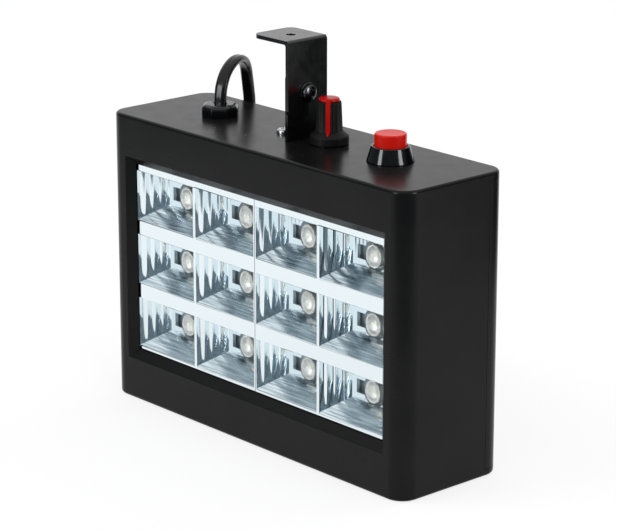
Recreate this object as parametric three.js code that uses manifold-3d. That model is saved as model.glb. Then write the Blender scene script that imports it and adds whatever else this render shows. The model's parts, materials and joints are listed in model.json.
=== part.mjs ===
// A small room strobe light: a moulded box with twelve LEDs in two chromed reflector trays,
// a speed knob, a push button, a tilting hanging bracket and a flat mains cord.
// Millimetres. X runs to the right, Y to the back and Z up.
// The origin is the middle of the underside of the housing.
import * as THREE from 'three';
import { mergeVertices } from 'three/addons/utils/BufferGeometryUtils.js';
import Module from 'manifold-3d';

const wasm = await Module();
wasm.setup();

// Driving dimensions

const housing = {
  width: 135,
  depth: 41.5,
  height: 93.5,
  cornerRadius: 6,
  edgeRadius: 1,
  wall: 2.2,
  frontWall: 2.3,
};

// Frame left round the opening in the front wall, measured on the front face
const opening = {
  side: 8,
  top: 13.1,
  bottom: 13.6,
  chamfer: 2.7,
};

// Rear cover, with its side flanges and the tongues that slip inside the housing
const cover = {
  wrap: 7.2,
  wall: 2,
  tongue: 1.2,
  tongueReach: 2.5,
  tongueRoot: 2.4,
  screwInset: 7,
  screwMargin: 7,
  towerRadius: 3.2,
  recessDepth: 3,
  recessRadius: 2.8,
  splitDepth: 10,
};

// Chromed reflector trays, two columns of three cells each. The cells run a little way
// behind the frame, and the trays a little further.
const tray = {
  sideLap: 0.4,
  endLap: 0.72,
  drop: 0.55,
  shift: -0.3,
  setBack: 0.5,
  sideMargin: 0.5,
  endMargin: 0.7,
  joint: 0.2,
  backWall: 1.2,
};

const cell = {
  septum: 1.1,
  land: 4.85,
  depth: 9.7,
  sideDraft: 4.1,
  endDraft: 3.85,
  fluteDepth: 0.24,
  slotWidth: 15.4,
  slotHeight: 4.4,
  lensHole: 4.8,
  holeReach: 3,
};

// Each lens is an oval, taller than wide, with a round dome on its front
const led = {
  flangeMargin: 0.45,
  flangeHeight: 1,
  lensWidth: 6.3,
  lensHeight: 7.1,
  sideProud: 1,
  domeRadius: 2.05,
  domeHeight: 1.3,
};

const ledBoard = {
  sideGap: 1.1,
  rim: 0.6,
  thickness: 1.6,
  standOff: 1.5,
  bossInset: 5.8,
  bossSpacing: 46,
  bossRadius: 2.6,
};

const driverBoard = {
  width: 84,
  height: 52,
  thickness: 1.6,
  bottom: 12,
  gapToCover: 7,
  postRadius: 2.6,
  postInset: 4,
};

const filmCapacitor = {
  width: 18,
  height: 12,
  headroom: 6.1,
  x: -22,
  z: 46,
};

const electrolytic = {
  radius: 5,
  headroom: 2.6,
  x: 6,
  z: 44,
};

const rectifier = {
  width: 9,
  height: 6.4,
  thickness: 3.4,
  x: -20,
  z: 27,
};

const controllerChip = {
  width: 9.8,
  height: 6.4,
  thickness: 3.4,
  x: 12,
  z: 24,
};

// Hanging bracket: a lower angle whose foot is inside the housing and an upper angle that tilts
const bracket = {
  sheet: 1.2,
  y: 1,
  earX: 0,
  earWidth: 13,
  earHeight: 21.7,
  footLength: 15,
  footHoleX: -8.4,
  pivotHeight: 14.5,
  endReach: 7.2,
  armWidth: 14.8,
  armHeight: 31,
  flangeLength: 14.4,
  flangeHoleX: -5,
  flangeHoleRadius: 1.5,
  bendRadius: 1.9,
  cornerRadius: 2.8,
  slotBehind: 1.6,
  slotAhead: 0.3,
  slotEnd: 0.5,
};

const pivotScrew = {
  headRadius: 2.6,
  headHeight: 1.5,
  radius: 1.45,
  tail: 1.1,
};

const pivotWasher = {
  radius: 3.1,
  thickness: 0.5,
};

const pivotNut = {
  acrossFlats: 5.5,
  thickness: 2.4,
};

const footScrew = {
  headRadius: 2.2,
  headHeight: 1.5,
  radius: 1.2,
  tail: 0.8,
};

const footNut = {
  acrossFlats: 5,
  thickness: 2,
};

const caseScrew = {
  headRadius: 2.4,
  headHeight: 1.7,
  radius: 1.2,
  length: 13,
};

const boardScrew = {
  headRadius: 2.3,
  headHeight: 1.5,
  radius: 1.1,
  length: 6.5,
};

// Speed knob, its red cap, and the potentiometer under it
const knob = {
  x: 10.5,
  y: 2.6,
  lift: 0.2,
  skirtRadius: 5.95,
  skirtSide: 2.4,
  skirtTop: 3.8,
  bodyBottomRadius: 4.15,
  bodyTopRadius: 3.7,
  bodyTop: 12.9,
  fluteDepth: 0.28,
  flutes: 18,
  hollowRadius: 4.9,
  hollowDepth: 2.4,
  boreDepth: 9.2,
  pointerAngle: 42,
};

const knobCap = {
  radius: 3.15,
  thickness: 1,
  plugRadius: 2.2,
  plugDepth: 0.8,
  pointerWidth: 1.8,
  pointerProud: 0.35,
  pointerDepth: 1.2,
  pointerTip: 1.1,
};

const potentiometer = {
  bodyWidth: 11,
  bodyDepth: 10,
  bodyHeight: 6.3,
  bushRadius: 3,
  bushRise: 2.5,
  shaftRadius: 2,
  shaftRise: 8.8,
  collarRadius: 3.2,
  collarHeight: 1.4,
  pinWidth: 0.9,
  pinLength: 3.2,
  pinSpacing: 3.5,
};

const potWasher = {
  radius: 4.4,
  thickness: 0.4,
};

const potNut = {
  acrossFlats: 8,
  thickness: 1.5,
};

// Push button with its conical bezel
const button = {
  x: 37.9,
  y: 1.9,
  lipRadius: 7.1,
  lipHeight: 0.4,
  bezelTopRadius: 5.7,
  bezelHeight: 4.65,
  boreRadius: 5.05,
  boreDepth: 6,
  barrelRadius: 5.85,
  barrelLength: 9.5,
  baseRadius: 5,
  baseLength: 12,
  capRadius: 4.8,
  capTop: 8.4,
  capBottom: 1,
  capEdge: 0.5,
  capWall: 1,
  capCeiling: 1.4,
  stemRadius: 1.6,
  stemDrop: 2.5,
  tabWidth: 2.8,
  tabThickness: 0.5,
  tabLength: 5.5,
  tabSpacing: 5.2,
};

const buttonNut = {
  acrossFlats: 14,
  thickness: 2.2,
};

const buttonSpring = {
  coilRadius: 2.7,
  wireRadius: 0.28,
  turns: 6,
};

// Strain relief bushing for the flat cord
const bushing = {
  x: -39.3,
  y: 1.7,
  acrossFlats: 11.1,
  headHeight: 3.7,
  headEdge: 1.2,
  neckRadius: 3.9,
  collarRadius: 4.6,
  collarHeight: 3.6,
  slotWidth: 0.5,
  slotDepth: 0.7,
};

// Flat two-core cord
const cord = {
  width: 4,
  thickness: 2.6,
  seatDepth: 2.2,
  floorLift: 0.9,
};

const coil = {
  x: -34,
  y: 60,
  outerRadius: 29,
  turnPitch: 3.6,
  layerPitch: 4.6,
  turns: 7,
  entryAngle: 200,
  exitAngle: 90,
};

const tie = {
  width: 4.5,
  thickness: 0.6,
  angle: 140,
};

const plug = {
  reliefLength: 14,
  reliefStart: 2.2,
  reliefEnd: 4,
  bodyLength: 26,
  bodyWidth: 20,
  bodyThickness: 14.4,
  bodyRadius: 4,
  shoulder: 3,
  bladeLength: 17,
  bladeWidth: 6.3,
  bladeThickness: 1.5,
  bladeSpacing: 12.7,
  bladeEdge: 1.2,
};

// Clearances, and one overrun for every cut
const fit = {
  seat: 0.05,
  slip: 0.15,
  loose: 0.3,
};
const overrun = 1;
const holeClearance = 0.25;

// Shares of a pan head screw's radii and head height
const screwShares = {
  tip: 0.6,
  rim: 0.33,
  shoulder: 0.8,
  shoulderRadius: 0.78,
  crownRadius: 0.4,
  crossReach: 0.5,
  crossWidth: 0.17,
  crossFloor: 0.5,
};

const boardBoxCornerShare = 0.1;
const capacitorRimShare = 0.12;

// Facet counts
const facets = {
  corner: 6,
  edge: 3,
  small: 12,
  lens: 14,
  round: 24,
  flute: 3,
  dome: 3,
  cordSides: 8,
  coilSides: 6,
  coilSteps: 24,
  tailSteps: 4,
  cordSteps: 40,
  springSteps: 8,
  springSides: 5,
};

// Counts
const fluteCount = 4;
const columns = 2;
const rows = 3;
const quarterTurn = Math.PI / 2;
const fullTurn = Math.PI * 2;

// Levels and faces that several pieces share
const frontY = -housing.depth / 2;
const backY = housing.depth / 2;
const wallBackY = frontY + housing.frontWall;
const topZ = housing.height;
const plateUndersideZ = topZ - housing.wall;
const trayFrontY = wallBackY + tray.setBack;
const cellBackY = trayFrontY + cell.depth;
const trayBackY = cellBackY + tray.backWall;
const ledBoardFrontY = trayBackY + ledBoard.standOff;
const ledBoardBackY = ledBoardFrontY + ledBoard.thickness;
const coverInnerY = backY - cover.wall;
const driverBoardBackY = coverInnerY - driverBoard.gapToCover;
const driverBoardFrontY = driverBoardBackY - driverBoard.thickness;
const openingWidth = housing.width - 2 * opening.side;
const openingHeight = housing.height - opening.bottom - opening.top;
const openingCentreZ = opening.bottom + openingHeight / 2;
const innerWidth = openingWidth - 2 * opening.chamfer;
const innerHeight = openingHeight - 2 * opening.chamfer;
const pivotZ = topZ + bracket.pivotHeight;
const earFaceX = bracket.earX + bracket.sheet;
const armBackX = earFaceX + fit.seat;
const armFaceX = armBackX + bracket.sheet;
const columnPitch = (innerWidth / 2 + tray.sideLap) / columns;
const rowPitch = (innerHeight + 2 * tray.endLap) / rows;
const rowCentreZ = openingCentreZ - tray.drop;
const mouthWidth = columnPitch - cell.septum;
const mouthHeight = rowPitch - cell.land;
const trayHeight = innerHeight + 2 * (tray.endLap + tray.endMargin);
const ledBoardHalfWidth = housing.width / 2 - housing.wall - ledBoard.sideGap;
const ledBoardHalfHeight = openingHeight / 2 + ledBoard.rim;
const boardSpace = driverBoardFrontY - ledBoardBackY;
const coilLowZ = cord.floorLift + cord.width / 2;
const coilHighZ = coilLowZ + coil.layerPitch;
const coilTopZ = coilHighZ + cord.width / 2;
const plugZ = coilTopZ + fit.seat + plug.bodyThickness / 2;

// Turning a geometry into a solid for cutting and joining, and back

function toSolid(geometry) {
  const bare = geometry.index ? geometry.toNonIndexed() : geometry.clone();
  bare.deleteAttribute('normal');
  bare.deleteAttribute('uv');
  const merged = mergeVertices(bare, 1e-4);
  const source = merged.index.array;
  const corners = [];
  for (let i = 0; i < source.length; i += 3) {
    const a = source[i];
    const b = source[i + 1];
    const c = source[i + 2];
    if (a !== b && b !== c && c !== a) {
      corners.push(a, b, c);
    }
  }
  const mesh = new wasm.Mesh({
    numProp: 3,
    vertProperties: new Float32Array(merged.attributes.position.array),
    triVerts: new Uint32Array(corners),
  });
  return new wasm.Manifold(mesh);
}

function toGeometry(solid) {
  const mesh = solid.getMesh();
  const geometry = new THREE.BufferGeometry();
  geometry.setAttribute('position', new THREE.BufferAttribute(mesh.vertProperties, 3));
  geometry.setIndex(new THREE.BufferAttribute(mesh.triVerts, 1));
  geometry.computeVertexNormals();
  return geometry;
}

function join(...geometries) {
  return geometries.map(toSolid).reduce((sum, solid) => sum.add(solid));
}

function cutAway(solid, ...geometries) {
  return geometries.map(toSolid).reduce((rest, tool) => rest.subtract(tool), solid);
}

// Prisms and lofts. The first two coordinates of an outline are named after the plane it lies in.

function outlineShape(points) {
  return new THREE.Shape(points);
}

function prismAlongZ(shape, low, high) {
  const settings = { depth: high - low, bevelEnabled: false, curveSegments: facets.corner };
  return new THREE.ExtrudeGeometry(shape, settings).translate(0, 0, low);
}

// The outline is drawn in X and Z
function prismAlongY(shape, low, high) {
  return prismAlongZ(shape, -high, -low).rotateX(quarterTurn);
}

// The outline is drawn in Y and Z
function prismAlongX(shape, low, high) {
  const turn = new THREE.Matrix4().makeBasis(
    new THREE.Vector3(0, 1, 0),
    new THREE.Vector3(0, 0, 1),
    new THREE.Vector3(1, 0, 0),
  );
  return prismAlongZ(shape, low, high).applyMatrix4(turn);
}

function block(low, high) {
  const size = high.map((value, axis) => value - low[axis]);
  const middle = high.map((value, axis) => (value + low[axis]) / 2);
  return new THREE.BoxGeometry(...size).translate(...middle);
}

function rectangle(lowU, lowV, highU, highV) {
  return outlineShape([
    new THREE.Vector2(lowU, lowV),
    new THREE.Vector2(highU, lowV),
    new THREE.Vector2(highU, highV),
    new THREE.Vector2(lowU, highV),
  ]);
}

function polygon(radius, sides, phase = 0) {
  const points = [];
  for (let i = 0; i < sides; i += 1) {
    const angle = phase + (fullTurn * i) / sides;
    points.push(new THREE.Vector2(radius * Math.cos(angle), radius * Math.sin(angle)));
  }
  return points;
}

function hexagon(acrossFlats) {
  return polygon(acrossFlats / (2 * Math.cos(Math.PI / 6)), 6);
}

function roundedOutline(halfWidth, halfDepth, radius, steps) {
  const points = [];
  for (let corner = 0; corner < 4; corner += 1) {
    const signX = corner === 0 || corner === 3 ? 1 : -1;
    const signY = corner < 2 ? 1 : -1;
    for (let i = 0; i <= steps; i += 1) {
      const angle = quarterTurn * (corner + i / steps);
      points.push(new THREE.Vector2(
        signX * (halfWidth - radius) + radius * Math.cos(angle),
        signY * (halfDepth - radius) + radius * Math.sin(angle),
      ));
    }
  }
  return points;
}

// Joins outlines with the same number of points, each at its own height, into one closed body
function loft(rings) {
  const count = rings[0].outline.length;
  const positions = [];
  for (const ring of rings) {
    for (const point of ring.outline) {
      positions.push(point.x, point.y, ring.z);
    }
  }
  const indices = [];
  for (let level = 0; level < rings.length - 1; level += 1) {
    for (let i = 0; i < count; i += 1) {
      const a = level * count + i;
      const b = level * count + ((i + 1) % count);
      indices.push(a, b, b + count, a, b + count, a + count);
    }
  }
  const last = (rings.length - 1) * count;
  for (const [a, b, c] of THREE.ShapeUtils.triangulateShape(rings[0].outline, [])) {
    indices.push(c, b, a);
  }
  for (const [a, b, c] of THREE.ShapeUtils.triangulateShape(rings[rings.length - 1].outline, [])) {
    indices.push(last + a, last + b, last + c);
  }
  const geometry = new THREE.BufferGeometry();
  geometry.setAttribute('position', new THREE.Float32BufferAttribute(positions, 3));
  geometry.setIndex(indices);
  geometry.computeVertexNormals();
  return geometry;
}

// Turns a profile of [radius, height] pairs round the Z axis
function turned(profile, segments) {
  const points = profile.map(([radius, height]) => new THREE.Vector2(radius, height));
  return new THREE.LatheGeometry(points, segments).rotateX(quarterTurn);
}

function rod(radius, low, high, segments) {
  return turned([[0, low], [radius, low], [radius, high], [0, high]], segments);
}

// A hole's cutter. Its flats, and not its corners, lie on the radius.
function bore(radius, low, high, segments) {
  return rod(radius / Math.cos(Math.PI / segments), low, high, segments);
}

function boreAlongX(radius, low, high, y, z) {
  return bore(radius, low, high, facets.round).rotateY(quarterTurn).translate(0, y, z);
}

function rodAlongY(radius, low, high, x, z) {
  return rod(radius, -high, -low, facets.small).rotateX(quarterTurn).translate(x, 0, z);
}

function boreAlongY(radius, low, high, x, z) {
  return bore(radius, -high, -low, facets.small).rotateX(quarterTurn).translate(x, 0, z);
}

// Materials

function finish(color, roughness, metalness) {
  return new THREE.MeshStandardMaterial({ color, roughness, metalness });
}

const finishes = {
  satinBlack: () => finish(0x17181a, 0.42, 0),
  glossBlack: () => finish(0x0c0c0d, 0.15, 0),
  blackSteel: () => finish(0x141416, 0.38, 0.3),
  chromedTray: () => finish(0xd5e2ea, 0.12, 1),
  clearLens: () => finish(0xeef2ee, 0.08, 0),
  boardGreen: () => finish(0x1f5a3a, 0.5, 0),
  boardWhite: () => finish(0xdcdcd6, 0.5, 0),
  zincSteel: () => finish(0xc4c6c8, 0.25, 1),
  redPlastic: () => finish(0xc81a10, 0.3, 0),
  knobBlack: () => finish(0x26282a, 0.55, 0),
  partBlue: () => finish(0x2c4a8a, 0.4, 0),
  partYellow: () => finish(0xc8a23a, 0.45, 0),
  partBlack: () => finish(0x1c1c1e, 0.5, 0),
  brass: () => finish(0xc9a45a, 0.3, 1),
  cordBlack: () => finish(0x121213, 0.35, 0),
  springSteel: () => finish(0xb0b4b8, 0.3, 1),
  tieBlack: () => finish(0x1a1a1a, 0.5, 0),
};

const group = new THREE.Group();

function addPiece(name, shape, material, place = group) {
  const geometry = shape.isBufferGeometry ? shape : toGeometry(shape);
  const mesh = new THREE.Mesh(geometry, material);
  mesh.name = name;
  place.add(mesh);
  return mesh;
}

// Fasteners

// A pan head screw whose head sits on Z = 0 and whose shank points down
function panScrew(screw, length) {
  const crown = screw.headHeight;
  const profile = [
    [0, -length],
    [screw.radius * screwShares.tip, -length],
    [screw.radius, -length + screw.radius],
    [screw.radius, 0],
    [screw.headRadius, 0],
    [screw.headRadius, crown * screwShares.rim],
    [screw.headRadius * screwShares.shoulderRadius, crown * screwShares.shoulder],
    [screw.headRadius * screwShares.crownRadius, crown],
    [0, crown],
  ];
  const crossHalf = screw.headRadius * screwShares.crossReach;
  const crossWidth = screw.headRadius * screwShares.crossWidth;
  const low = crown * screwShares.crossFloor;
  const high = crown + overrun;
  const body = toSolid(turned(profile, facets.small));
  return cutAway(
    body,
    block([-crossHalf, -crossWidth, low], [crossHalf, crossWidth, high]),
    block([-crossWidth, -crossHalf, low], [crossWidth, crossHalf, high]),
  );
}

function hexNut(acrossFlats, thickness, boreRadius) {
  const body = toSolid(prismAlongZ(outlineShape(hexagon(acrossFlats)), 0, thickness));
  return cutAway(body, bore(boreRadius, -overrun, thickness + overrun, facets.small));
}

// Housing and rear cover

function coverScrewPlaces() {
  const x = housing.width / 2 - cover.screwInset;
  const places = [];
  for (const side of [-1, 1]) {
    for (const z of [cover.screwMargin, housing.height - cover.screwMargin]) {
      places.push([side * x, z]);
    }
  }
  return places;
}

function ledBoardScrewPlaces() {
  const x = housing.width / 2 - ledBoard.bossInset;
  const places = [];
  for (const side of [-1, 1]) {
    for (const level of [-1, 1]) {
      places.push([side * x, rowCentreZ + (level * ledBoard.bossSpacing) / 2]);
    }
  }
  return places;
}

function driverBoardPostPlaces() {
  const x = driverBoard.width / 2 - driverBoard.postInset;
  return [
    [-x, driverBoard.bottom + driverBoard.postInset],
    [x, driverBoard.bottom + driverBoard.height - driverBoard.postInset],
  ];
}

function outerShell() {
  const rings = [];
  const outlineAt = (inset) => roundedOutline(
    housing.width / 2 - inset,
    housing.depth / 2 - inset,
    housing.cornerRadius - inset,
    facets.corner,
  );
  for (let i = 0; i <= facets.edge; i += 1) {
    const angle = (quarterTurn * i) / facets.edge;
    const inset = housing.edgeRadius * (1 - Math.sin(angle));
    rings.push({ outline: outlineAt(inset), z: housing.edgeRadius * (1 - Math.cos(angle)) });
  }
  for (let i = facets.edge; i >= 0; i -= 1) {
    const angle = (quarterTurn * i) / facets.edge;
    const inset = housing.edgeRadius * (1 - Math.sin(angle));
    const z = housing.height - housing.edgeRadius * (1 - Math.cos(angle));
    rings.push({ outline: outlineAt(inset), z });
  }
  return loft(rings);
}

// The window in the front wall, with a sloped rim all round
function windowCut() {
  const slope = opening.chamfer / housing.frontWall;
  const outlineAt = (inset) => {
    const halfWidth = openingWidth / 2 - inset;
    const halfHeight = openingHeight / 2 - inset;
    return [
      new THREE.Vector2(-halfWidth, -halfHeight),
      new THREE.Vector2(halfWidth, -halfHeight),
      new THREE.Vector2(halfWidth, halfHeight),
      new THREE.Vector2(-halfWidth, halfHeight),
    ];
  };
  const rings = [
    { outline: outlineAt(opening.chamfer), z: -wallBackY - overrun },
    { outline: outlineAt(opening.chamfer), z: -wallBackY },
    { outline: outlineAt(-overrun * slope), z: -frontY + overrun },
  ];
  return loft(rings).rotateX(quarterTurn).translate(0, 0, openingCentreZ);
}

function frontHousing() {
  const innerHalfWidth = housing.width / 2 - housing.wall;
  const innerRadius = housing.cornerRadius - housing.wall;
  const cavityDepth = backY + overrun + housing.cornerRadius - wallBackY;
  const cavityOutline = roundedOutline(innerHalfWidth, cavityDepth / 2, innerRadius, facets.corner);
  const cavity = prismAlongZ(outlineShape(cavityOutline), housing.wall, plateUndersideZ)
    .translate(0, wallBackY + cavityDepth / 2, 0);
  const halfSpan = housing.width / 2 + overrun;
  const notch = block(
    [-halfSpan, backY - cover.wrap, housing.wall],
    [halfSpan, backY + overrun, plateUndersideZ],
  );
  let solid = cutAway(toSolid(outerShell()), cavity, notch, windowCut());

  const root = wallBackY - housing.frontWall / 2;
  const coverBossEnd = backY - cover.splitDepth;
  for (const [x, z] of coverScrewPlaces()) {
    solid = solid.add(toSolid(rodAlongY(cover.towerRadius, root, coverBossEnd, x, z)));
  }
  for (const [x, z] of ledBoardScrewPlaces()) {
    const end = ledBoardFrontY - fit.seat;
    solid = solid.add(toSolid(rodAlongY(ledBoard.bossRadius, root, end, x, z)));
  }
  const caseHole = caseScrew.radius + fit.slip;
  for (const [x, z] of coverScrewPlaces()) {
    const depth = coverBossEnd - caseScrew.length;
    solid = cutAway(solid, boreAlongY(caseHole, depth, backY + overrun, x, z));
  }
  const boardHole = boardScrew.radius + fit.slip;
  for (const [x, z] of ledBoardScrewPlaces()) {
    const depth = ledBoardFrontY - boardScrew.length - overrun;
    solid = cutAway(solid, boreAlongY(boardHole, depth, backY, x, z));
  }

  const low = plateUndersideZ - overrun;
  const high = topZ + overrun;
  const round = (radius, x, y) => bore(radius, low, high, facets.round).translate(x, y, 0);
  const slotHalf = bracket.earWidth / 2 + bracket.slotEnd;
  return cutAway(
    solid,
    round(bushing.neckRadius + holeClearance, bushing.x, bushing.y),
    round(footScrew.radius + holeClearance, bracket.footHoleX, bracket.y),
    round(potentiometer.bushRadius + holeClearance, knob.x, knob.y),
    round(button.barrelRadius + holeClearance, button.x, button.y),
    block(
      [bracket.earX - bracket.slotBehind, bracket.y - slotHalf, low],
      [earFaceX + bracket.slotAhead, bracket.y + slotHalf, high],
    ),
  );
}

function rearCover() {
  const bottomZ = housing.wall + fit.slip;
  const coverTopZ = plateUndersideZ - fit.slip;
  const outer = roundedOutline(
    housing.width / 2,
    housing.depth / 2,
    housing.cornerRadius,
    facets.corner,
  );
  const inner = roundedOutline(
    housing.width / 2 - cover.wall,
    housing.depth / 2 - cover.wall,
    housing.cornerRadius - cover.wall,
    facets.corner,
  );
  const edgeY = backY - cover.wrap + fit.slip;
  const halfSpan = housing.width / 2 + overrun;
  const keep = block(
    [-halfSpan, edgeY, bottomZ - overrun],
    [halfSpan, backY + overrun, coverTopZ + overrun],
  );
  let solid = cutAway(
    toSolid(prismAlongZ(outlineShape(outer), bottomZ, coverTopZ)),
    prismAlongZ(outlineShape(inner), bottomZ - overrun, coverTopZ + overrun),
  ).intersect(toSolid(keep));

  const tongueOuter = housing.width / 2 - housing.wall - fit.loose;
  const tongueInner = tongueOuter - cover.tongue;
  const rootOuter = housing.width / 2 - cover.wall / 2;
  const tongueLow = bottomZ + housing.cornerRadius;
  const tongueHigh = coverTopZ - housing.cornerRadius;
  for (const side of [-1, 1]) {
    const ends = (a, b) => [Math.min(side * a, side * b), Math.max(side * a, side * b)];
    const [lowX, highX] = ends(tongueInner, tongueOuter);
    const [rootLowX, rootHighX] = ends(tongueInner, rootOuter);
    solid = solid.add(join(
      block(
        [lowX, edgeY - cover.tongueReach, tongueLow],
        [highX, edgeY + cover.tongueRoot, tongueHigh],
      ),
      block([rootLowX, edgeY, tongueLow], [rootHighX, edgeY + cover.tongueRoot, tongueHigh]),
    ));
  }

  const towerEnd = backY - cover.splitDepth + fit.loose;
  const rootY = backY - cover.wall / 2;
  for (const [x, z] of coverScrewPlaces()) {
    solid = solid.add(toSolid(rodAlongY(cover.towerRadius, towerEnd, rootY, x, z)));
  }
  for (const [x, z] of driverBoardPostPlaces()) {
    const end = driverBoardBackY + fit.seat;
    solid = solid.add(toSolid(rodAlongY(driverBoard.postRadius, end, rootY, x, z)));
  }
  const clip = block(
    [-halfSpan, frontY, bottomZ],
    [halfSpan, backY + overrun, coverTopZ],
  );
  solid = solid.intersect(toSolid(clip));
  for (const [x, z] of coverScrewPlaces()) {
    const hole = caseScrew.radius + holeClearance;
    const seatY = backY - cover.recessDepth;
    solid = cutAway(
      solid,
      boreAlongY(hole, frontY, backY + overrun, x, z),
      boreAlongY(cover.recessRadius, seatY, backY + overrun, x, z),
    );
  }
  for (const [x, z] of driverBoardPostPlaces()) {
    const hole = boardScrew.radius + fit.slip;
    const depth = driverBoardFrontY + boardScrew.length + fit.loose;
    solid = cutAway(solid, boreAlongY(hole, frontY, depth, x, z));
  }
  return solid;
}

// Reflector trays

// Plan of one cell: the side walls slant in and carry upright flutes
function cellPlan() {
  const mouthHalf = mouthWidth / 2;
  const backHalf = mouthHalf - cell.sideDraft;
  const start = new THREE.Vector2(mouthHalf, 0);
  const end = new THREE.Vector2(backHalf, cell.depth);
  const along = end.clone().sub(start);
  const outward = new THREE.Vector2(along.y, -along.x).normalize();
  const side = [];
  for (let flute = 0; flute < fluteCount; flute += 1) {
    for (let i = 0; i < facets.flute; i += 1) {
      const share = i / facets.flute;
      const bulge = cell.fluteDepth * 4 * share * (1 - share);
      side.push(start.clone()
        .addScaledVector(along, (flute + share) / fluteCount)
        .addScaledVector(outward, bulge));
    }
  }
  side.push(end);
  const right = [new THREE.Vector2(mouthHalf, -overrun), ...side];
  const left = right.map((point) => new THREE.Vector2(-point.x, point.y)).reverse();
  return [...right, ...left];
}

function cellCut(x, z) {
  const halfWidth = columnPitch / 2;
  const mouthHalf = mouthHeight / 2;
  const backHalf = mouthHalf - cell.endDraft;
  const sideView = outlineShape([
    new THREE.Vector2(-overrun, -mouthHalf),
    new THREE.Vector2(0, -mouthHalf),
    new THREE.Vector2(cell.depth, -backHalf),
    new THREE.Vector2(cell.depth, backHalf),
    new THREE.Vector2(0, mouthHalf),
    new THREE.Vector2(-overrun, mouthHalf),
  ]);
  const plan = prismAlongZ(outlineShape(cellPlan()), -mouthHeight, mouthHeight);
  const hollow = toSolid(plan).intersect(toSolid(prismAlongX(sideView, -halfWidth, halfWidth)));
  const through = cell.depth + tray.backWall + overrun;
  const from = cell.depth - cell.holeReach;
  const slot = block(
    [-cell.slotWidth / 2, cell.depth - tray.backWall, -cell.slotHeight / 2],
    [cell.slotWidth / 2, through, cell.slotHeight / 2],
  );
  const hole = bore(cell.lensHole, -through, -from, facets.round).rotateX(quarterTurn);
  return hollow.add(toSolid(slot)).add(toSolid(hole)).translate([x, trayFrontY, z]);
}

function cellCentres(side) {
  const centres = [];
  for (let row = 0; row < rows; row += 1) {
    for (let column = 0; column < columns; column += 1) {
      const x = tray.shift + side * (column + 0.5) * columnPitch;
      const z = rowCentreZ + ((rows - 1) / 2 - row) * rowPitch;
      centres.push([x, z]);
    }
  }
  return centres;
}

function reflector(side) {
  const near = tray.shift + side * (tray.joint / 2);
  const far = tray.shift + side * (columns * columnPitch + tray.sideMargin);
  let solid = toSolid(block(
    [Math.min(near, far), trayFrontY, openingCentreZ - trayHeight / 2],
    [Math.max(near, far), trayBackY, openingCentreZ + trayHeight / 2],
  ));
  for (const [x, z] of cellCentres(side)) {
    solid = solid.subtract(cellCut(x, z));
  }
  return solid;
}

// LEDs and circuit boards

function ledShape() {
  const neck = ledBoardFrontY - fit.seat - cellBackY + led.sideProud;
  const tall = led.lensHeight / 2;
  const flange = tall + led.flangeMargin;
  const base = turned([
    [0, 0],
    [flange, 0],
    [flange, led.flangeHeight],
    [tall, led.flangeHeight],
    [tall, neck],
    [0, neck],
  ], facets.lens);
  base.scale(led.lensWidth / led.lensHeight, 1, 1);
  const profile = [[0, led.flangeHeight]];
  for (let i = 0; i < facets.dome; i += 1) {
    const angle = (quarterTurn * i) / facets.dome;
    profile.push([led.domeRadius * Math.cos(angle), neck + led.domeHeight * Math.sin(angle)]);
  }
  profile.push([0, neck + led.domeHeight]);
  return toSolid(base).add(toSolid(turned(profile, facets.lens)));
}

function placeLeds() {
  let number = 0;
  const centres = [...cellCentres(-1), ...cellCentres(1)]
    .sort((first, second) => second[1] - first[1] || first[0] - second[0]);
  for (const [x, z] of centres) {
    number += 1;
    const name = `led_${String(number).padStart(2, '0')}`;
    const mesh = addPiece(name, ledShape(), finishes.clearLens());
    mesh.rotation.x = quarterTurn;
    mesh.position.set(x, ledBoardFrontY - fit.seat, z);
  }
}

function ledBoardShape() {
  let solid = toSolid(block(
    [-ledBoardHalfWidth, ledBoardFrontY, rowCentreZ - ledBoardHalfHeight],
    [ledBoardHalfWidth, ledBoardBackY, rowCentreZ + ledBoardHalfHeight],
  ));
  for (const [x, z] of ledBoardScrewPlaces()) {
    solid = cutAway(solid, boreAlongY(boardScrew.radius + holeClearance, frontY, backY, x, z));
  }
  return solid;
}

function driverBoardShape() {
  const halfWidth = driverBoard.width / 2;
  let solid = toSolid(block(
    [-halfWidth, driverBoardFrontY, driverBoard.bottom],
    [halfWidth, driverBoardBackY, driverBoard.bottom + driverBoard.height],
  ));
  for (const [x, z] of driverBoardPostPlaces()) {
    solid = cutAway(solid, boreAlongY(boardScrew.radius + holeClearance, frontY, backY, x, z));
  }
  return solid;
}

// A boxed component that stands on the front of the driver board
function boardBox(size, thickness) {
  const radius = size.height * boardBoxCornerShare;
  const outline = roundedOutline(size.width / 2, size.height / 2, radius, facets.edge);
  const faceY = driverBoardFrontY - fit.seat;
  return prismAlongY(outlineShape(outline), faceY - thickness, faceY)
    .translate(size.x, 0, size.z);
}

function electrolyticShape() {
  const radius = electrolytic.radius;
  const rim = radius * capacitorRimShare;
  const length = boardSpace - electrolytic.headroom;
  const profile = [
    [0, 0],
    [radius - rim, 0],
    [radius, rim],
    [radius, length - rim],
    [radius - rim, length],
    [0, length],
  ];
  return turned(profile, facets.small)
    .rotateX(quarterTurn)
    .translate(electrolytic.x, driverBoardFrontY - fit.seat, electrolytic.z);
}

// Bracket

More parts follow.
